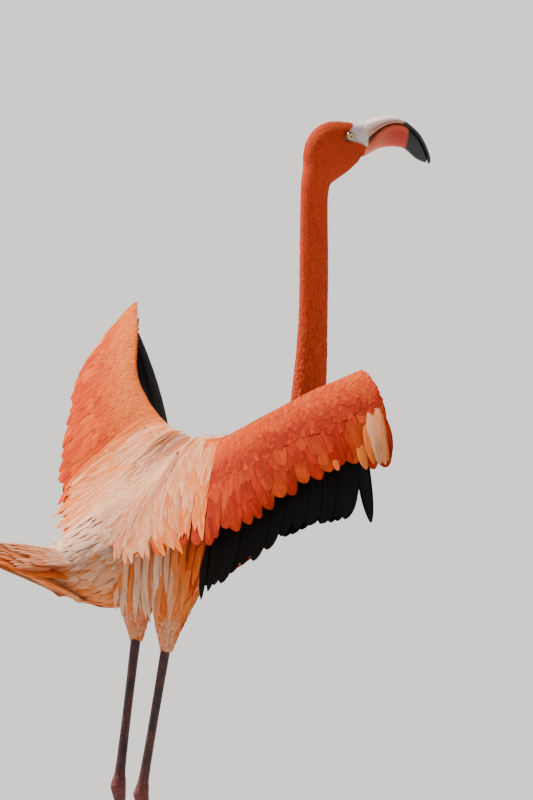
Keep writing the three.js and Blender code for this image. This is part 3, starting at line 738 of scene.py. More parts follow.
def shape_face(p):
    """Sinks the eye sockets, raises the lids, and presses in the folds of the bare face."""
    h = to_head(p)
    crease = np.zeros(len(h))
    side = np.sign(h[:, 1]) + (h[:, 1] == 0)
    away = np.hypot(h[:, 0] - EYE["forward"], (h[:, 2] - EYE["up"]) * 1.12)
    near = np.abs(h[:, 1]) > 6  # off the middle of the face
    socket = near * (1 - smoothstep(away, 6.5, 12.5))
    brow = near * np.exp(-(((h[:, 0] - 33) / 10) ** 2) - ((h[:, 2] - 28.5) / 3.2) ** 2)
    reach = np.abs(h[:, 1]) - 1.3 * socket + 0.7 * brow
    rim = EYE["side"] + np.sqrt(np.clip(EYE["radius"] ** 2 - away**2, 0, None)) + 0.75
    reach = lerp(reach, np.maximum(reach, rim), near * (1 - smoothstep(away, 6.0, 7.4)))
    inside = near * (1 - smoothstep(away, EYE["opening"] - 0.35, EYE["opening"] + 0.25))
    reach = lerp(reach, EYE["side"] + 1.5, inside)
    lid = near * window(away, (4.4, 4.9), (6.2, 7.4))
    for slope, start, end, depth in FACE_FOLDS:
        line = 13 - slope * (h[:, 0] - 36) + 22 * (slope - 0.5)
        fold = near * hill(h[:, 2], line, 0.9) * window(h[:, 0], (start, start + 6), (end, end + 6))
        reach = reach - depth * fold
        crease = np.maximum(crease, fold)
    h[:, 1] = np.where(near, side * reach, h[:, 1])
    return from_head(h), lid, crease


def fit_to_bill(p):
    """Draws the front of the face in to the bill's root."""
    h = to_head(p)
    share = smoothstep(h[:, 0], 47, 60)
    middle, tall, wide = FACE_ROOT["middle"], FACE_ROOT["tall"], FACE_ROOT["wide"]
    flat = stacked(h[:, 1] / wide, (h[:, 2] - middle) / tall)
    size = np.maximum(np.linalg.norm(flat, axis=1), 1e-6)
    outer = size > 0.7
    h[:, 1] = lerp(h[:, 1], np.where(outer, flat[:, 0] / size * wide, h[:, 1]), share)
    h[:, 2] = lerp(h[:, 2], np.where(outer, middle + flat[:, 1] / size * tall, h[:, 2]), share)
    return from_head(h)


def body_up_share(p):
    """From -1 on the belly to 1 on the back, for points of the trunk."""
    middle, deep = (np.interp(p[:, 0], TRUNK[0], TRUNK[k]) for k in (1, 2))
    return np.clip((p[:, 2] - middle) / deep, -1.2, 1.2)


def markings(p):
    """Shares of pale, rosy and deep colour on the body, as (points, 3)."""
    x, _, z = p.T
    up = body_up_share(p)
    neck = np.maximum(smoothstep(z, 10, 60), smoothstep(x, 90, 125))
    leg = smoothstep(-z, 190, 225) * (1 - neck)
    belly = 1 - smoothstep(up, -0.75, -0.1)
    pale = 0.68 + 0.26 * smoothstep(up, 0.05, 0.7) - 0.22 * belly
    rosy = 0.25 + 0.45 * belly
    parts = [(smoothstep(x, 10, 80), 0.10, 0.15), (neck, 0.08, 0.85), (leg, 0.68, 0.2)]
    for share, part_pale, part_rosy in parts:
        pale, rosy = lerp(pale, part_pale, share), lerp(rosy, part_rosy, share)
    streak = leg * hill(x, -88, 9)
    return stacked(pale * (1 - streak), rosy, lerp(0.04 * belly, 0.3, streak))


def leg_rings(side):
    """Shank, ankle and tarsus as one line of rings, with plates pressed into the front."""
    top = THIGH_END + [0, 0, 16]
    foot = FOOT + [0, 0, FOOT_TOP - 3]
    stations = [[*lerp(top, ANKLE, share), radius] for share, radius in (
        (0, SHANK_RADIUS + 0.6), (0.3, SHANK_RADIUS), (0.6, SHANK_RADIUS * 0.98),
        (0.88, SHANK_RADIUS * 1.12), (0.955, ANKLE_RADIUS * 0.88),
    )]
    stations += [[*lerp(ANKLE, foot, share), radius] for share, radius in (
        (0, ANKLE_RADIUS), (0.05, ANKLE_RADIUS * 0.82), (0.12, TARSUS_RADIUS * 1.1), (0.4, TARSUS_RADIUS),
        (0.75, TARSUS_RADIUS), (0.93, TARSUS_RADIUS * 1.1), (1, TARSUS_RADIUS * 1.45),
    )]
    rings, around = 260, 28
    rows = along(stations, np.linspace(0, 1, rings))
    angle = -math.tau * np.arange(around) / around
    length = np.concatenate([[0], np.linalg.norm(np.diff(rows[:, :3], axis=0), axis=1).cumsum()])
    front = smoothstep(np.cos(angle), 0.1, 0.7)
    plate = np.abs(np.sin(np.pi * length / PLATE_LENGTH))[:, None] ** 0.4
    radius = rows[:, 3:] * (1 + 0.05 * front * (plate - 1))
    points = rows[:, None, :3] + stacked(np.cos(angle) * radius * 1.06, np.sin(angle) * radius * 0.98, 0)
    joint = np.repeat(hill(rows[:, 2], ANKLE[2], 22), around)
    return points.reshape(-1, 3) * [1, side, 1], lofted(points)[1], stacked(joint, 0, 0)


def toe_frame(degrees):
    """The way a toe points, and the way across it."""
    angle = math.radians(TOE_OUT + degrees)
    forward = np.array([math.cos(angle), math.sin(angle), 0])
    return forward, np.array([-forward[1], forward[0], 0])


def toe_shell(degrees, length):
    """A toe with the swell of its joints, flat below."""
    forward, across = toe_frame(degrees)
    share = np.linspace(0, 1, 40)
    rows = [0, 0.12, 0.5, 0.8, 0.93, 1]
    wide = np.interp(share, rows, [5, 6, 4.8, 4.1, 3.3, 1.4])
    tall = np.interp(share, rows, [5.2, 4.8, 3.8, 3.2, 2.5, 1.2])
    knuckle = 1 + 0.13 * np.cos(math.tau * 3 * share) * smoothstep(share, 0.05, 0.3)
    middle = FOOT + forward * (share[:, None] * (length + 4) - 5)
    middle[:, 2] = FLOOR + tall * 0.6
    return lofted(tube(middle, across, UP, wide * knuckle, tall * knuckle, 16))


def web_shells():
    """The skin between the toes: thin sheets with a bowed front edge, thicker along the toes."""
    ends = [FOOT + toe_frame(degrees)[0] * length * 0.82 for degrees, length in TOES]
    s, t = np.meshgrid(np.linspace(0, 1, 18), np.linspace(0.04, 1, 18), indexing="ij")
    reach = t * (1 - 0.24 * np.sin(np.pi * s))
    thick = WEB_THICKNESS + 0.5 * np.abs(2 * s - 1) ** 3
    for a, b in zip(ends, ends[1:]):
        low = FOOT + (lerp(a, b, s[..., None]) - FOOT) * reach[..., None]
        high = low + UP * thick[..., None]
        yield lofted(np.concatenate([high, low[:, ::-1]], 1))


def foot_points(side):
    """One webbed foot: three toes, the web, the pad and a small hind toe, melted together."""
    share = np.linspace(0, 1, 10)
    rise = UP * (share * FOOT_TOP)[:, None]
    pad = tube(FOOT + rise, FORE, LEFT, lerp(11, 7.6, share), lerp(10, 7.0, share), 20)
    back, across = toe_frame(HIND_TOE)
    middle = FOOT + back * (4 + 16 * share)[:, None] + [0, 0, 4.2]
    hind = tube(middle, across, UP, lerp(4, 2.2, share), lerp(4, 2.0, share), 12)
    shells = [*(toe_shell(*toe) for toe in TOES), *web_shells(), lofted(pad), lofted(hind)]
    work = remeshed("foot", shells, voxel=0.9, smoothing=3)
    p = points_of(work.data)
    faces = [list(f.vertices) for f in work.data.polygons]
    bpy.data.objects.remove(work)
    p[:, 2] = np.maximum(p[:, 2], FLOOR)
    flat = p - FOOT
    reach = np.hypot(flat[:, 0], flat[:, 1])
    pointing = np.degrees(np.arctan2(flat[:, 1], flat[:, 0])) - TOE_OUT
    apart = np.min([np.abs(pointing - degrees) for degrees, _ in TOES], axis=0)
    web = smoothstep(reach * np.radians(apart), 4, 8) * (reach > 14)
    return p * [1, side, 1], faces, stacked(0, web, 0)


def make_skin():
    """One skin for trunk, neck, head, thighs, arms and tail stump, with its marks and how bare it is."""
    nodes = ["trunk", "neck_lower", "neck_upper", "head", "thigh_left", "thigh_right"]
    shells = [*map(cad_shell, nodes), arm_shell(1), arm_shell(-1), tail_stump()]
    body = remeshed("skin", shells, voxel=2.6, smoothing=14)
    work = bmesh.new()
    work.from_mesh(body.data)
    head_height = (HEAD_FROM + SHOULDER_HEIGHT) / 1000
    for fine_from in (head_height, head_height + 0.03):
        edges = [e for e in work.edges if all(v.co.z > fine_from for v in e.verts)]
        bmesh.ops.subdivide_edges(work, edges=edges, cuts=1, use_grid_fill=True)
        verts = [v for v in work.verts if v.co.z > fine_from]
        for _ in range(3):
            bmesh.ops.smooth_vert(
                work, verts=verts, factor=0.5, use_axis_x=True, use_axis_y=True, use_axis_z=True
            )
    work.normal_update()
    p = np.array([v.co[:] for v in work.verts]) * 1000 - BACK
    p = p - np.array([v.normal[:] for v in work.verts]) * coat_depth(p)[:, None]
    on_head = p[:, 2] > HEAD_FROM
    lid, crease = np.zeros((2, len(p)))
    p[on_head], lid[on_head], crease[on_head] = shape_face(fit_to_bill(p[on_head]))
    for v, co in zip(work.verts, to_frame(p)):
        v.co = co
    work.normal_update()
    work.to_mesh(body.data)
    work.free()
    return body, markings(p), stacked(np.where(on_head, bare_share(to_head(p)), 0), lid, crease)


def join_legs(body, mark, bare):
    """Adds the bare legs and feet to the skin's mesh, with their own material."""
    work = bmesh.new()
    work.from_mesh(body.data)
    bares = [bare]
    for side in (1, -1):
        for points, faces, share in (leg_rings(side), foot_points(side)):
            verts = [work.verts.new(co) for co in to_frame(points)]
            for face in faces:
                made = work.faces.new([verts[i] for i in face[::side]])
                made.material_index = 1
            bares.append(share)
    work.to_mesh(body.data)
    work.free()
    body.data.materials.append(skin_surface())
    body.data.materials.append(leg_skin())
    bare = np.concatenate(bares)
    write_vectors(body.data, mark=np.pad(mark, ((0, len(bare) - len(mark)), (0, 0))), bare=bare)
    shade_smooth(body.data)
    keep(body, "plumage", "trunk", "neck_lower", "neck_upper", "head", "thigh_left", "thigh_right",
         "shank_left", "shank_right", "tarsus_left", "tarsus_right", "foot_left", "foot_right")


# ---------------------------------------------------------------- small feathers laid over the skin


def feather_length(p):
    """Length of the body feathers, which grow from the face down the neck to the rump."""
    x, _, z = p.T
    head = lerp(3.0, 4.2, smoothstep(-to_head(p)[:, 0], -30, 20))
    neck = np.interp(z, [-90, -20, 80, 200, 340], [15, 11, 8, 6.5, 5])
    trunk = np.interp(x, [-290, -200, -60, 40, 120], [26, 32, 30, 24, 16])
    trunk = trunk * (1 + 0.4 * smoothstep(body_up_share(p), 0.2, 0.9))
    trunk = lerp(trunk, 13, smoothstep(-z, 175, 230))
    length = lerp(trunk, neck, np.maximum(smoothstep(z, -10, 45), smoothstep(x, 85, 118)))
    return np.where(z > HEAD_COAT_FROM, lerp(head, neck, 1 - smoothstep(z, 348, 372)), length)


def lie(p):
    """The way feathers point: back from the face, down the neck, back along the trunk, down the thigh."""
    x, _, z = p.T
    h = to_head(p)
    drop = lerp(-0.15, -1.6, smoothstep(-h[:, 0], -40, 25)) - 0.5 * smoothstep(-h[:, 2], 0, 40)
    head = unit(stacked(-1, 0.1 * np.sign(h[:, 1]), drop)) @ turn.T
    neck = unit(stacked(np.interp(z, [-80, -40, 20, 100, 400], [-0.9, -0.45, -0.12, -0.04, -0.03]), 0, -1))
    trunk = unit(stacked(-1, 0, -0.30 * (1 - smoothstep(z, -60, 0)) + 0.12 * smoothstep(-x, 180, 280)))
    way = lerp(trunk, unit(np.array([-0.22, 0, -1])), smoothstep(-z, 150, 215)[:, None])
    way = unit(lerp(way, neck, (smoothstep(z, -70, 30) * smoothstep(x, 20, 90))[:, None]))
    return unit(lerp(way, head, smoothstep(z, 335, 375)[:, None]))


def skin_unwrap(p):
    """A place on an unwrap of the body: round it and along it, each part in its own strip."""
    x, y, z = p.T
    h = to_head(p)

    def turned(a, b):
        return np.arctan2(a, b) / math.tau + 0.5

    around, length = turned(y, z - np.interp(x, TRUNK[0], TRUNK[1])), (x + 300) / 430
    for where, part_around, part_length in (
        (z < -185, 0.5 * turned(np.abs(y) - 41, x + 98) + 0.5 * (y < 0), (z + 285) / 150),
        ((z > 20) | (x > 112), turned(y, x - np.interp(z, NECK[1], NECK[0])), (z + 90) / 440),
        (z > HEAD_COAT_FROM, turned(h[:, 1], h[:, 2] - 4), (h[:, 0] + 35) / 100),
    ):
        around, length = np.where(where, part_around, around), np.where(where, part_length, length)
    return on_map(around, length)


def feather_gap(p):
    """Distance between neighbouring roots: 0.4 of a feather on the face, down to 0.17 for the longest."""
    length = feather_length(p)
    return length * np.interp(length, [3, 5, 10, 20, 40], [0.40, 0.33, 0.27, 0.22, 0.17])


def scatter(points, triangles, wanted):
    """Evenly spread roots over the skin, closer together where feathers are short."""
    a, b, c = points[triangles.T]
    middle = (a + b + c) / 3
    area = np.linalg.norm(np.cross(b - a, c - a), axis=1) / 2
    weight = np.where(wanted(middle), area / feather_gap(middle) ** 2, 0)
    count = int(weight.sum() * 4)
    chosen = rng.choice(len(triangles), count, p=weight / weight.sum())
    u, v = rng.random((2, count, 1))
    flip = u + v > 1
    u, v = np.where(flip, 1 - u, u), np.where(flip, 1 - v, v)
    spots = a[chosen] + u * (b - a)[chosen] + v * (c - a)[chosen]
    gap = feather_gap(spots)
    tree = KDTree(count)
    for i, spot in enumerate(spots):
        tree.insert(spot, i)
    tree.balance()
    alive = np.ones(count, bool)
    for i in range(count):
        if alive[i]:
            for _, j, _ in tree.find_range(spots[i], gap[i]):
                alive[j] = j == i
    return spots[alive]


def nearest(tree, points):
    """The nearest places on the skin, and the way it faces there."""
    found = [tree.find_nearest(p) for p in points]
    return (np.array([f[k][:] for f in found]) for k in (0, 1))


def lay(coat, tree, roots, form, width, lift, spread):
    """Lays one feather on the skin from each root, with form = (rows, widths)."""
    rows, widths = form
    uneven = 0.07
    count = len(roots)
    length = feather_length(roots) * (1 + stray(uneven, count))
    way = lie(roots) + stray(uneven, count, 3)
    place, up = nearest(tree, roots)
    places, ups = [place], [up]
    for _ in range(2):
        ahead = unit(way - (way * up).sum(-1, keepdims=True) * up)
        place, up = nearest(tree, place + ahead * length[:, None] / 2)
        places.append(place)
        ups.append(up)
    t = np.array(rows)[None, :, None]
    weights = [(1 - t) * (1 - 2 * t), 4 * t * (1 - t), t * (2 * t - 1)]
    spine = sum(w * q[:, None] for w, q in zip(weights, places))
    up = unit(sum(w * q[:, None] for w, q in zip(weights, ups)))
    depth = coat_depth(roots)[:, None, None] * lift * (1 + stray(0.1, count, 1, 1))
    spine = spine + up * depth * lerp(-0.15, 0.92, 1 - (1 - t) ** 2.5)
    half = length[:, None] * width * np.array(widths)
    roll = stray(0.05, count)
    mark = markings(roots)
    mark[:, 0] += stray(spread, count) * (0.2 + mark[:, 0])
    mark[:, 1] += stray(0.5 * spread, count)
    crown = 0.06 * half.max(1)
    coat.add(spine, up, half, np.clip(mark, 0, 1), skin_unwrap(roots), crown, thick=0.2, roll=roll)


def dress_body(body, material):
    """Lays the small feathers of head, neck, trunk and thighs over the skin."""
    mesh = body.data
    points = points_of(mesh)
    mesh.calc_loop_triangles()
    materials = [polygon.material_index for polygon in mesh.polygons]
    triangles = np.array([t.vertices[:] for t in mesh.loop_triangles if materials[t.polygon_index] == 0])
    tree = BVHTree.FromPolygons([tuple(p) for p in points], triangles.tolist())

    def feathered(p):
        x, y, z = p.T
        h = to_head(p)
        face = (z > HEAD_FROM) & ((bare_share(h) > 0.35) | (h[:, 0] > COAT_ENDS["bill"]))
        shoulder = (z > COAT_ENDS["shoulder_height"]) & (np.abs(y) > COAT_ENDS["shoulder"])
        arm = (np.abs(y) > COAT_ENDS["arm"]) | shoulder
        return ~(face | arm | (z < COAT_ENDS["leg"]) | (x < COAT_ENDS["tail"]))

    roots = scatter(points, triangles, feathered)
    x, _, z = roots.T
    # The meshes part just under the skull, at the breast, and where the thighs begin.
    head = z > 345
    neck = ~head & ((z > 20) | (x > 105))
    thigh = z < THIGH_FROM
    trunk = ~(head | neck | thigh)
    back = body_up_share(roots) > 0.15
    small = SMALL_ROWS, SMALL_ROUND
    # Which roots, rows and shares of the width, half width over length, lift and spread of the colours.
    for name, group, form, *numbers in (
        ("head", head, small, 0.32, 0.9, 0.15),
        ("neck_upper", neck & (z > 170), small, 0.28, 0.9, 0.15),
        ("neck_lower", neck & (z <= 170), small, 0.27, 0.9, 0.15),
        ("back", trunk & back, (BODY_ROWS, BODY_POINTED), 0.18, 1.0, 0.10),
        ("belly", trunk & ~back, (BODY_ROWS, BODY_ROUND), 0.20, 1.0, 0.10),
        ("thighs", thigh, small, 0.27, 1.0, 0.10),
    ):
        coat = Coat(f"coat_{name}", columns=3, patch=1)
        lay(coat, tree, roots[group], form, *numbers)
        coat.make(material, "plumage")


# ---------------------------------------------------------------- wing feathers


def wing_mark(s, t, side, under):
    """Pale, rosy and deep shares over the wing: a paler band on the leading edge, partly painted light, and
    paler inner feathers, with deep red behind the band that is mostly painted shade on the right wing.
    """
    if under:
        return stacked(0.10, 0.35, 0.5 + 0 * s)
    wide, pale, deep_with_painted_shade = WING_MARKS_AND_PAINTED_LIGHT[side]
    inner = 1 - smoothstep(s, 0.0, 0.2)
    # On the right wing this deep red is mostly painted shade.
    deep = deep_with_painted_shade * smoothstep(t, 0.08, 0.36) * smoothstep(s, 0.0, 0.22)
    return stacked(pale * hill(t, 0, wide) + 0.58 * inner, 0.04 + 0.12 * inner, deep)


def wing_spots(s, t):
    return on_map(s, t / 1.15)


def wing_feathers(coat, s, reach, half, form, lift, mark, under=False, drift=0.0):
    """Feathers lying on one side of the wing, with reach = (root t, tip t) and form = (rows, widths)."""
    rows, widths = (np.array(numbers) for numbers in form)
    side = coat.side
    t = reach[0][:, None] + (reach[1] - reach[0])[:, None] * rows
    span = np.clip(s[:, None] + drift * (rows - 0.5), 0, 1)
    fore = unit(wing_point(span, 0.0, side) - wing_point(span, 0.12, side))
    nose = 1 - smoothstep(t, 0, 0.10)
    up = unit(wing_up(span, np.clip(t, 0, 1), side) * (-1 if under else 1) + fore * nose[..., None])
    height = wing_half_thickness(span, t) + lerp(*lift, rows)
    spine = wing_point(span, t, side) + up * height[..., None]
    roll = stray(0.03, len(s))
    coat.add(spine, up, half[:, None] * widths, mark, wing_spots(s, reach[0]), 0.05 * half, roll=roll)


def row_places(t, spacing, half, phase, under):
    """Places along the wing for a row of feathers, from under the mantle to inside the wrist's edge."""
    span = lerp(*WING_SPAN, t)
    count = int(span / spacing)
    s = (np.arange(count) + 0.5 + 0.5 * phase) / (count + 0.5)
    s = s + stray(0.10 / count, count)
    s = np.clip(s, 0.4 * half / span, 1 - 1.05 * half / span)
    return s if under else s[s > 0.06]


def covert_rows(coat, under):
    """Fine coverts in many rows from the leading edge back, each laid under the one before it."""
    t, phase = (0.035 if under else -0.01), 0
    last = 0.40
    while t < last:
        grown = max(t, 0) / last
        step = lerp(0.017, 0.036, grown) * (1.7 if under else 1)
        spacing = lerp(5.5, 10.5, grown) * (1.6 if under else 1)
        half = 0.8 * spacing
        s = row_places(t, spacing, (4 if under else 1) * half, phase, under)
        root = np.maximum(t + stray(0.25 * step, len(s)), 0)
        tip = t + step * (3.6 + stray(0.35, len(s)))
        wide = half * (1 + stray(0.10, len(s)))
        mark = varied(wing_mark(s, root, coat.side, under), 0.05, 0.12)
        wing_feathers(coat, s, (root, tip), wide, (BODY_ROWS, BODY_ROUND), (-0.5, 0.35), mark, under)
        t, phase = t + step, 1 - phase


def long_rows(coat, under):
    """Median and greater coverts: broad feathers whose ends make the uneven lower edge of the coverts."""
    form = LARGE_ROWS, LARGE_BLUNT
    # Where each row starts and ends, its spacing, and how uneven its ends are.
    rows = [[0.56, 0.99, 21, 0.035], [0.50, 0.93, 19, 0.05], [0.38, 0.80, 17, 0.05], [0.30, 0.66, 14, 0.04],
            [0.26, 0.55, 12, 0.03]]
    if under:
        rows = [[0.46, 0.84, 26, 0.03], [0.38, 0.62, 22, 0.03]]
    for k, (start, end, spacing, uneven) in enumerate(rows):
        half = 0.75 * spacing
        s = row_places(end, spacing, (1.7 if under else 1) * half, k % 2, under)
        root = start + stray(0.02, len(s))
        raised = 0.085 * window(s, (0.5, 0.68), (0.84, 0.93))
        tip = np.minimum(end * (1 - raised) + stray(uneven, len(s)), 1.01)
        wide = half * (1 + stray(0.10, len(s)))
        mark = varied(wing_mark(s, root, coat.side, under), 0.08, 0.2)
        wing_feathers(coat, s, (root, tip), wide, form, (-1.2, 0.2 * k - 0.6), mark, under, drift=0.01)


def wrist_feathers(coat):
    """The pale feathers that hang from the wrist along its outer edge."""
    # Each one's place along the wing, where it starts and ends, half width and paleness.
    s, root, tip, half, pale = np.array([
        [0.80, 0.80, 0.93, 4.5, 0.28], [0.885, 0.70, 0.985, 6.5, 0.48], [0.915, 0.55, 0.96, 7, 0.40],
        [0.935, 0.36, 0.975, 9, 0.72], [0.955, 0.30, 0.985, 9.5, 0.60], [0.972, 0.42, 0.965, 6, 0.40],
    ]).T
    wing_feathers(coat, s, (root, tip), half, (LARGE_ROWS, LARGE_BLUNT), (-0.6, 1.6), stacked(pale, 0.1, 0))


def scapulars(coat):
    """Long pale feathers that stream from the shoulder over the inner wing."""
    count = 110
    s = np.sort(rng.uniform(0.07, 0.24, count))[rng.permutation(count)]
    root = rng.uniform(0.03, 0.62, count)
    order = np.argsort(-root)
    s, root = s[order], root[order]
    tip = np.minimum(root + rng.uniform(0.26, 0.38, count), 1.04)
    half = rng.uniform(4.2, 7.0, count)
    mark = varied(stacked(0.80 - 1.7 * s, 0.15, 0.12), 0.12, 0.12)
    wing_feathers(coat, s, (root, tip), half, (LARGE_ROWS, LARGE_POINTED), (0.2, 1.4), mark, drift=0.02)


def wing_foot(out, t):
    """Just over the feathers at a wing's foot, and from there out along the wing."""
    s = 0.05 + 0.16 * out
    lift = wing_half_thickness(s, t) + 0.6 + 1.2 * np.minimum(out, 0.4)
    return wing_point(s, t, 1) + wing_up(s, t, 1) * lift[..., None]


def saddle_point(u, t):
    """On the back between the wings: u is -1 to 1 from root to root, and past that out over the wings."""
    out = np.clip(np.abs(u) - 1, 0, None)
    step = 0.2
    foot = wing_foot(0 * out, t)
    slope = (wing_foot(0 * out + step, t) - foot) / step
    x = foot[..., 0] + SADDLE_FORWARD * (1 - t)
    middle = stacked(x, 0, np.interp(x, TRUNK[0], TRUNK[1] + TRUNK[2]) + 1)
    v = np.minimum(np.abs(u), 1)[..., None]
    # A cubic from the middle, level there, to the wing's foot, along the wing there.
    over = middle * (2 * v**3 - 3 * v**2 + 1) + foot * [0, 1, 0] * (v**3 - 2 * v**2 + v)
    over = over + foot * (3 * v**2 - 2 * v**3) + slope * (v**3 - v**2)
    over = over + wing_foot(out, t) - foot + UP * SADDLE_RISE * (v**2 * (1 - v))
    return over * stacked(1, np.where(u < 0, -1.0, 1.0), 1)


def make_mantle(material):
    """The back's own long pale feathers, bridging from wing to wing."""
    coat = Coat("mantle")
    count = 760
    root = 1.25 * rng.uniform(-1, 1, count) + stray(0.13, count)
    t_root = np.clip(np.sort(rng.uniform(-0.02, 0.78, count))[::-1], 0, 1)
    grown = rng.uniform(0.19, 0.33, (count, 1)) * LARGE_ROWS
    t = t_root[:, None] + grown
    u = root[:, None] * (1 + grown)
    small = 0.02
    across = saddle_point(u + small, t) - saddle_point(u - small, t)
    up = unit(np.cross(across, saddle_point(u, t + small) - saddle_point(u, t - small)))
    lift = 1.5 * LARGE_ROWS * (1 - 0.5 * np.minimum(np.abs(root[:, None]), 1.6))
    half = rng.uniform(5.0, 7.0, count)
    mark = varied(stacked(0.80 - 0.16 * np.abs(root) - 0.06 * t_root, 0.2, 0), 0.09, 0.05)
    coat.add(saddle_point(u, t) + up * lift[..., None], up, half[:, None] * LARGE_POINTED, mark,
             on_map(0.5 + 0.3 * root, t_root), 0.05 * half, roll=stray(0.05, count))
    coat.make(material, "pale_plumage")


def make_coverts(word, side, small, large):
    """The feathers that cover one wing above and below, and those over its foot."""
    for under, part in ((False, "upper"), (True, "under")):
        fine = Coat(f"coverts_small_{part}_{word}", side, columns=3, patch=1)
        covert_rows(fine, under)
        fine.make(small, "plumage")
        broad = Coat(f"coverts_large_{part}_{word}", side)
        long_rows(broad, under)
        if not under:
            wrist_feathers(broad)
        broad.make(large, "plumage", *([] if under else [f"wing_{word}"]))
    inner = Coat(f"scapulars_{word}", side)
    scapulars(inner)
    inner.make(large, "pale_plumage")


def flight_spines(settings, tips, share, side):
    """Bent spines from the wing to the tips for places across the row, and the way up from them."""
    s = lerp(settings["from"], settings["to"], share)
    start, bend = (
        wing_point(s, settings[part], side) - wing_up(s, settings[part], side) * settings[f"{part}_depth"]
        for part in ("root", "bend")
    )
    t = FLIGHT_ROWS[:, None]
    end = along(tips, share)
    spine = start[:, None] * (1 - t) ** 2 + bend[:, None] * 2 * t * (1 - t) + end[:, None] * t * t
    return spine, unit(np.cross(np.gradient(spine, axis=0), np.gradient(spine, axis=1)))


def stretched(spine, stretch):
    """Spines made longer or shorter from their roots."""
    return spine[:, :1] + (spine - spine[:, :1]) * stretch[:, None, None]


def make_secondaries(word, side, material):
    """Black feathers behind the arm, narrower next to the body."""
    count = 15
    share = np.linspace(0, 1, count)
    spine, up = flight_spines(SECONDARIES, SECONDARY_TIPS, share, side)
    stretch = 1 + stray(0.02, count) - 0.05 * (share < 0.16) * (np.arange(count) % 2)
    half = 14.5 + stray(0.8, count)
    half[:4] = [7.0, 8, 9.5, 12]
    coat = Coat(f"secondary_feathers_{word}", side, patch=8)
    coat.add(stretched(spine, stretch), up, half[:, None] * FLIGHT_ROUND, np.zeros((count, 3)),
             wing_spots(share, 0.5), 1.2, thick=0.6, roll=-0.09 * side)
    coat.make(material, "flight_feathers", f"secondaries_{word}")


def make_primaries(word, side, material):
    """Black feathers that fan out from the wrist, as rows of straight vanes bowed a little back and up."""
    between = PRIMARIES_BETWEEN if side > 0 else []
    blades = np.array([*PRIMARIES[:1], *between, *PRIMARIES[1:]], float)
    number = np.arange(len(blades))
    start = PRIMARY_ROOT + number[:, None] * [-2.0, 1.0, -1.0]
    line = blades[:, :3] - start
    facing = np.radians(blades[:, 3])
    edge = stacked(np.cos(facing), np.sin(facing), 0)
    edge = unit(edge - (edge * unit(line)).sum(-1, keepdims=True) * unit(line))
    up = unit(np.cross(line, edge))[:, None]
    t = FLIGHT_ROWS[:, None]
    back = blades[:, 5:, None] * np.sin(np.pi * np.clip(t, 0, 0.9)) * 0.6
    spine = start[:, None] + line[:, None] * t - edge[:, None] * back + up * 5 * np.sin(np.pi * t)
    form = np.where(number[:, None] == 0, FLIGHT_POINTED**0.7, FLIGHT_ROUND)
    coat = Coat(f"primary_feathers_{word}", side, patch=8)
    coat.add(spine, np.broadcast_to(up, spine.shape), blades[:, 4:5] * form, np.zeros((len(blades), 3)),
             wing_spots(0.1 + 0.1 * number, 0.5), 1.2, thick=0.6, roll=-0.06 * side)
    coat.make(material, "flight_feathers", f"primaries_{word}")


def make_tertials(word, side, material):
    """Long pointed feathers that fan down behind the wing, with loose plumes from the shoulder over them."""
    coat = Coat(f"tertial_feathers_{word}", side, patch=6)
    for settings, count, reach, width, lift, outer in TERTIAL_LAYERS:
        share = np.sort(np.clip(np.linspace(0, outer, count) + stray(0.35 / count, count), 0, 1))
        spine, up = flight_spines(settings, TERTIAL_TIPS, share, side)
        spine = stretched(spine, np.minimum(reach * (1 + stray(0.06, count)), 1.03)) + up * lift
        half = width * (1 + stray(0.12, count))
        mark = varied(stacked(lerp(0.82, 0.26, share**1.3), 0.12, 0.2 * share), 0.2, 0.15)
        coat.add(spine, up, half[:, None] * FLIGHT_POINTED, mark, wing_spots(share, 0.4 + 0.05 * lift), 0.7,
                 thick=0.35, roll=0.06 * side)
    coat.make(material, "pale_plumage", f"tertials_{word}")


# ---------------------------------------------------------------- tail


def tail_point(s, t, face):
    """On the tail: s from right to left, t from root to tip, face 1 for its top, -1 below, 0 between."""
    across = 2 * s - 1
    grown = np.clip(t, 0, 1)
    thick = lerp(TAIL["thick_root"], TAIL["thick_tip"], grown**0.75)
    reach = TAIL["length"] * (1 - 0.14 * across**2)
    half_width = lerp(TAIL["width_root"], TAIL["width_tip"], grown**0.7)
    tent = TAIL["droop"] * np.abs(across) ** 1.3 * (0.35 + 0.65 * t)
    height = TAIL["height"] + TAIL["rise"] * reach * t - tent - thick * (1 - face) / 2
    return stacked(TAIL["x"] - reach * t, across * half_width, height)


def tail_layer(coat, count, root, tip, face, half, widths, pale, lift):
    """One layer of the tail from root to tip, with lift over its surface at both."""
    s = (np.arange(count) + 0.5) / count
    s = np.clip(s + stray(0.2 / count, count), 0.02, 0.98)
    start = root + stray(0.03, count)
    end = tip + stray(0.03, count)
    t = start[:, None] + (end - start)[:, None] * LARGE_ROWS
    flare = unit(stacked(0, 0.8 * (2 * s - 1), 1 if face >= 0 else -1))
    spine = tail_point(s[:, None], t, face)
    up = np.broadcast_to(flare[:, None], spine.shape)
    spine = spine + up * lerp(*lift, LARGE_ROWS)[:, None]
    mark = stacked(np.clip(pale + stray(0.10, count), 0, 1), 0.2, 0.05)
    wide = half * (1 + stray(0.08, count))
    spots = 0.04 + 0.92 * stacked(s, 0.5 + 0.4 * (root - 0.5) + 0.03 * face)
    coat.add(spine, up, wide[:, None] * widths, mark, np.clip(spots, 0.02, 0.98), 0.08 * wide,
             roll=0.03 * np.sign(s - 0.5))


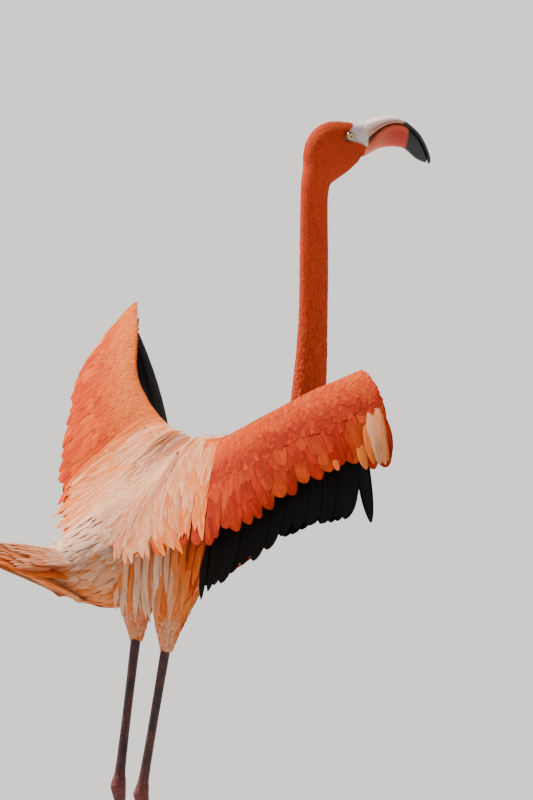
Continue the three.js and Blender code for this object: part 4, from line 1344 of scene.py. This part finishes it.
def make_tail(material):
    """The tail's own feathers, and seven layers of its coverts above and below, the longest laid first."""
    coat = Coat("tail_feathers")
    tail_layer(coat, 14, 0.15, 0.985, 0, 8.5, LARGE_ROUND, 0.40, (0, 0))
    for face, low_pale, high_pale, first_root in ((1, 0.58, 0.80, -0.30), (-1, 0.52, 0.64, -0.10)):
        for step in range(7):
            tip = 0.90 - 0.13 * step
            outward = face * lerp(0.6, 1, min(step / 2, 1))
            tail_layer(coat, 26, max(tip - 0.46, first_root), tip, outward, 4.6, LARGE_POINTED,
                       lerp(low_pale, high_pale, step / 6), (-1.5, 0.4))
    coat.make(material, "pale_plumage", "tail")


# ---------------------------------------------------------------- bill, eyes and claws


def make_bill(node, lines, grooves, cutting, material):
    """One half of the bill, grooved along its length. Its cutting side, -1 below or 1 above, is flattened."""
    rings, around = 110, 56
    run = np.linspace(0, 1, rings)
    rows = along(lines, run)
    a, b = rows[:, 0:2], rows[:, 2:4]
    middle, half = (a + b) / 2, (a - b) / 2
    angle = math.tau * np.arange(around) / around
    c, s = np.cos(angle), np.sin(angle)
    flat_side = s * cutting > 0
    wide = np.sign(c) * np.abs(c) ** np.where(flat_side, 0.55, 0.9)
    tall = np.sign(s) * np.abs(s) ** np.where(flat_side, 1.35, 0.95)
    down = (1 - s) / 2
    groove = np.max([depth * hill(down, place, width) * window(run, rise, fall)[:, None]
                     for place, width, depth, rise, fall in grooves], axis=0)
    side = rows[:, 4:5] * wide * (1 - 0.09 * groove)
    points = stacked(middle[:, 0:1] + half[:, 0:1] * tall, side, middle[:, 1:2] + half[:, 1:2] * tall)
    horn = stacked(run[:, None], down, groove)
    points = from_head(points.reshape(-1, 3))
    made = mesh_of(f"{node}_horn", points, ring_faces(rings, around), material, horn=horn)
    keep(made, "bill", node)


def make_eye(word, side, material):
    """An eyeball with a bulging cornea, set behind the lids."""
    rings, around = 40, 48
    tilt = np.linspace(0.02, np.pi - 0.02, rings)[:, None]
    spin = math.tau * np.arange(around) / around
    cornea = hill(tilt, 0, 0.55)
    radius = EYE["radius"] * (1 + 0.045 * cornea)
    forward = EYE["forward"] + radius * np.sin(tilt) * np.cos(spin)
    up = EYE["up"] + radius * np.sin(tilt) * np.sin(spin)
    points = from_head(stacked(forward, side * (EYE["side"] + radius * np.cos(tilt)), up).reshape(-1, 3))
    faces = [block[:, ::side] for block in ring_faces(rings, around)]
    ring = np.where(tilt < np.pi / 2, EYE["radius"] * np.sin(tilt), EYE["radius"])
    made = mesh_of(f"eyeball_{word}", points, faces, material, ball=stacked(ring, spin / math.tau, 0))
    keep(made, "eye", f"eye_{word}")


def make_claws(material):
    """The claws of all six front toes in one mesh."""
    points, quads, ends = [], [], []
    rings, around = 14, 14
    share = np.linspace(0, 1, rings)
    thick = 2.1 * (1 - share**1.7) + 0.25
    for _, side in SIDES:
        for degrees, length in TOES:
            forward, across = toe_frame(degrees)
            middle = FOOT + forward * (length - 4.5 + 8.0 * share)[:, None]
            middle[:, 2] = FLOOR + 2.3 + 1.2 * np.sin(np.pi * share) - 1.3 * share**2
            claw = tube(middle, across, UP, thick, thick * 0.8, around)
            claw[..., 2] = np.maximum(claw[..., 2], FLOOR + 0.05)
            quad, end = ring_faces(rings, around, len(points) * rings * around)
            points.append(claw.reshape(-1, 3) * [1, side, 1])
            quads.append(quad[:, ::side])
            ends.append(end[:, ::side])
    made = mesh_of("claws", np.concatenate(points), [np.concatenate(quads), np.concatenate(ends)], material)
    keep(made, "claw")


# ---------------------------------------------------------------- camera, light and floor

CAMERA_TURN, CAMERA_RISE = math.radians(35), math.radians(13)
CAMERA_DISTANCE, CAMERA_LENS = 20.0, 648
CAMERA_AIM = (0.0715, 0.0625)  # metres right and up of the layout's origin
HORIZON_LIGHT, SKY_LIGHT = 1.2, 0.50
KEY_LIGHT, KEY_SOFTNESS = 9.2, math.radians(10)
KEY_WAY = (0.52, -0.36, -0.78)  # where the key light goes: right, away from the camera and up
FLOOR_REACH = 2e5  # millimetres

scene = bpy.context.scene


def view_axes():
    """Right, level and away, and up, as the camera sees them."""
    right = Vector((math.cos(CAMERA_TURN), -math.sin(CAMERA_TURN), 0))
    away = Vector((math.sin(CAMERA_TURN), math.cos(CAMERA_TURN), 0))
    look = away * math.cos(CAMERA_RISE) - Vector((0, 0, 1)) * math.sin(CAMERA_RISE)
    return right, away, right.cross(look)


def make_camera():
    right, _, up = view_axes()
    look = up.cross(right)
    data = bpy.data.cameras.new("camera")
    data.lens, data.clip_end = CAMERA_LENS, 500
    camera = bpy.data.objects.new("camera", data)
    target = Vector(BACK / 1000) + right * CAMERA_AIM[0] + up * CAMERA_AIM[1]
    facing = Matrix((right, up, -look)).transposed().to_4x4()
    camera.matrix_world = Matrix.Translation(target - look * CAMERA_DISTANCE) @ facing
    scene.collection.objects.link(camera)
    scene.camera = camera


def make_key_light():
    right, away, _ = view_axes()
    data = bpy.data.lights.new("key", "SUN")
    data.energy, data.color, data.angle = KEY_LIGHT, (1.0, 0.98, 0.95), KEY_SOFTNESS
    light = bpy.data.objects.new("key", data)
    way = right * KEY_WAY[0] + away * KEY_WAY[1] + Vector((0, 0, 1)) * KEY_WAY[2]
    light.rotation_euler = way.to_track_quat("-Z", "Y").to_euler()
    scene.collection.objects.link(light)


def make_floor():
    pale = Paint("floor", Specular_IOR_Level=0.0).finish(Base_Color=srgb(177, 176, 173), Roughness=1.0)
    corners = np.array([[-1, -1, 0], [1, -1, 0], [1, 1, 0], [-1, 1, 0]]) * FLOOR_REACH + UP * FLOOR
    mesh_of("floor", corners, [np.array([[0, 1, 2, 3]])], pale)


def make_world():
    """Soft light from all round: a pale band at the horizon that meets the floor, dimmer overhead."""
    world = bpy.data.worlds.new("studio")
    world.use_nodes = True
    nodes, links = world.node_tree.nodes, world.node_tree.links
    spot = nodes.new("ShaderNodeTexCoord")
    parts = nodes.new("ShaderNodeSeparateXYZ")
    fade = nodes.new("ShaderNodeMapRange")
    fade.inputs["From Min"].default_value, fade.inputs["From Max"].default_value = 0.05, 0.16
    fade.inputs["To Min"].default_value, fade.inputs["To Max"].default_value = HORIZON_LIGHT, SKY_LIGHT
    links.new(spot.outputs["Generated"], parts.inputs[0])
    links.new(parts.outputs["Z"], fade.inputs["Value"])
    links.new(fade.outputs[0], nodes["Background"].inputs["Strength"])
    nodes["Background"].inputs["Color"].default_value = (0.97, 0.98, 1.0, 1)
    scene.world = world


# ---------------------------------------------------------------- assembly

make_camera()
make_floor()
make_world()
make_key_light()
soft = plumage("plumage")
broad = plumage("broad_plumage", strand=0.30, tip_light=0.06, edge_light=0.04, streak=0.5, contrast=1.3,
                relief=0.0004)
black = flight_feather()
skin, skin_mark, skin_bare = make_skin()
join_legs(skin, skin_mark, skin_bare)
dress_body(skin, soft)
make_mantle(broad)
for word, side in SIDES:
    make_coverts(word, side, soft, broad)
for make, material in ((make_secondaries, black), (make_primaries, black), (make_tertials, broad)):
    for word, side in SIDES:
        make(word, side, material)
make_tail(broad)
make_bill("bill_upper", BILL_UPPER, UPPER_GROOVES, -1, bill_horn("bill_upper", lower=False))
make_bill("bill_lower", BILL_LOWER, LOWER_GROOVES, 1, bill_horn("bill_lower", lower=True))
eye = eye_surface()
for word, side in SIDES:
    make_eye(word, side, eye)
make_claws(claw_horn())
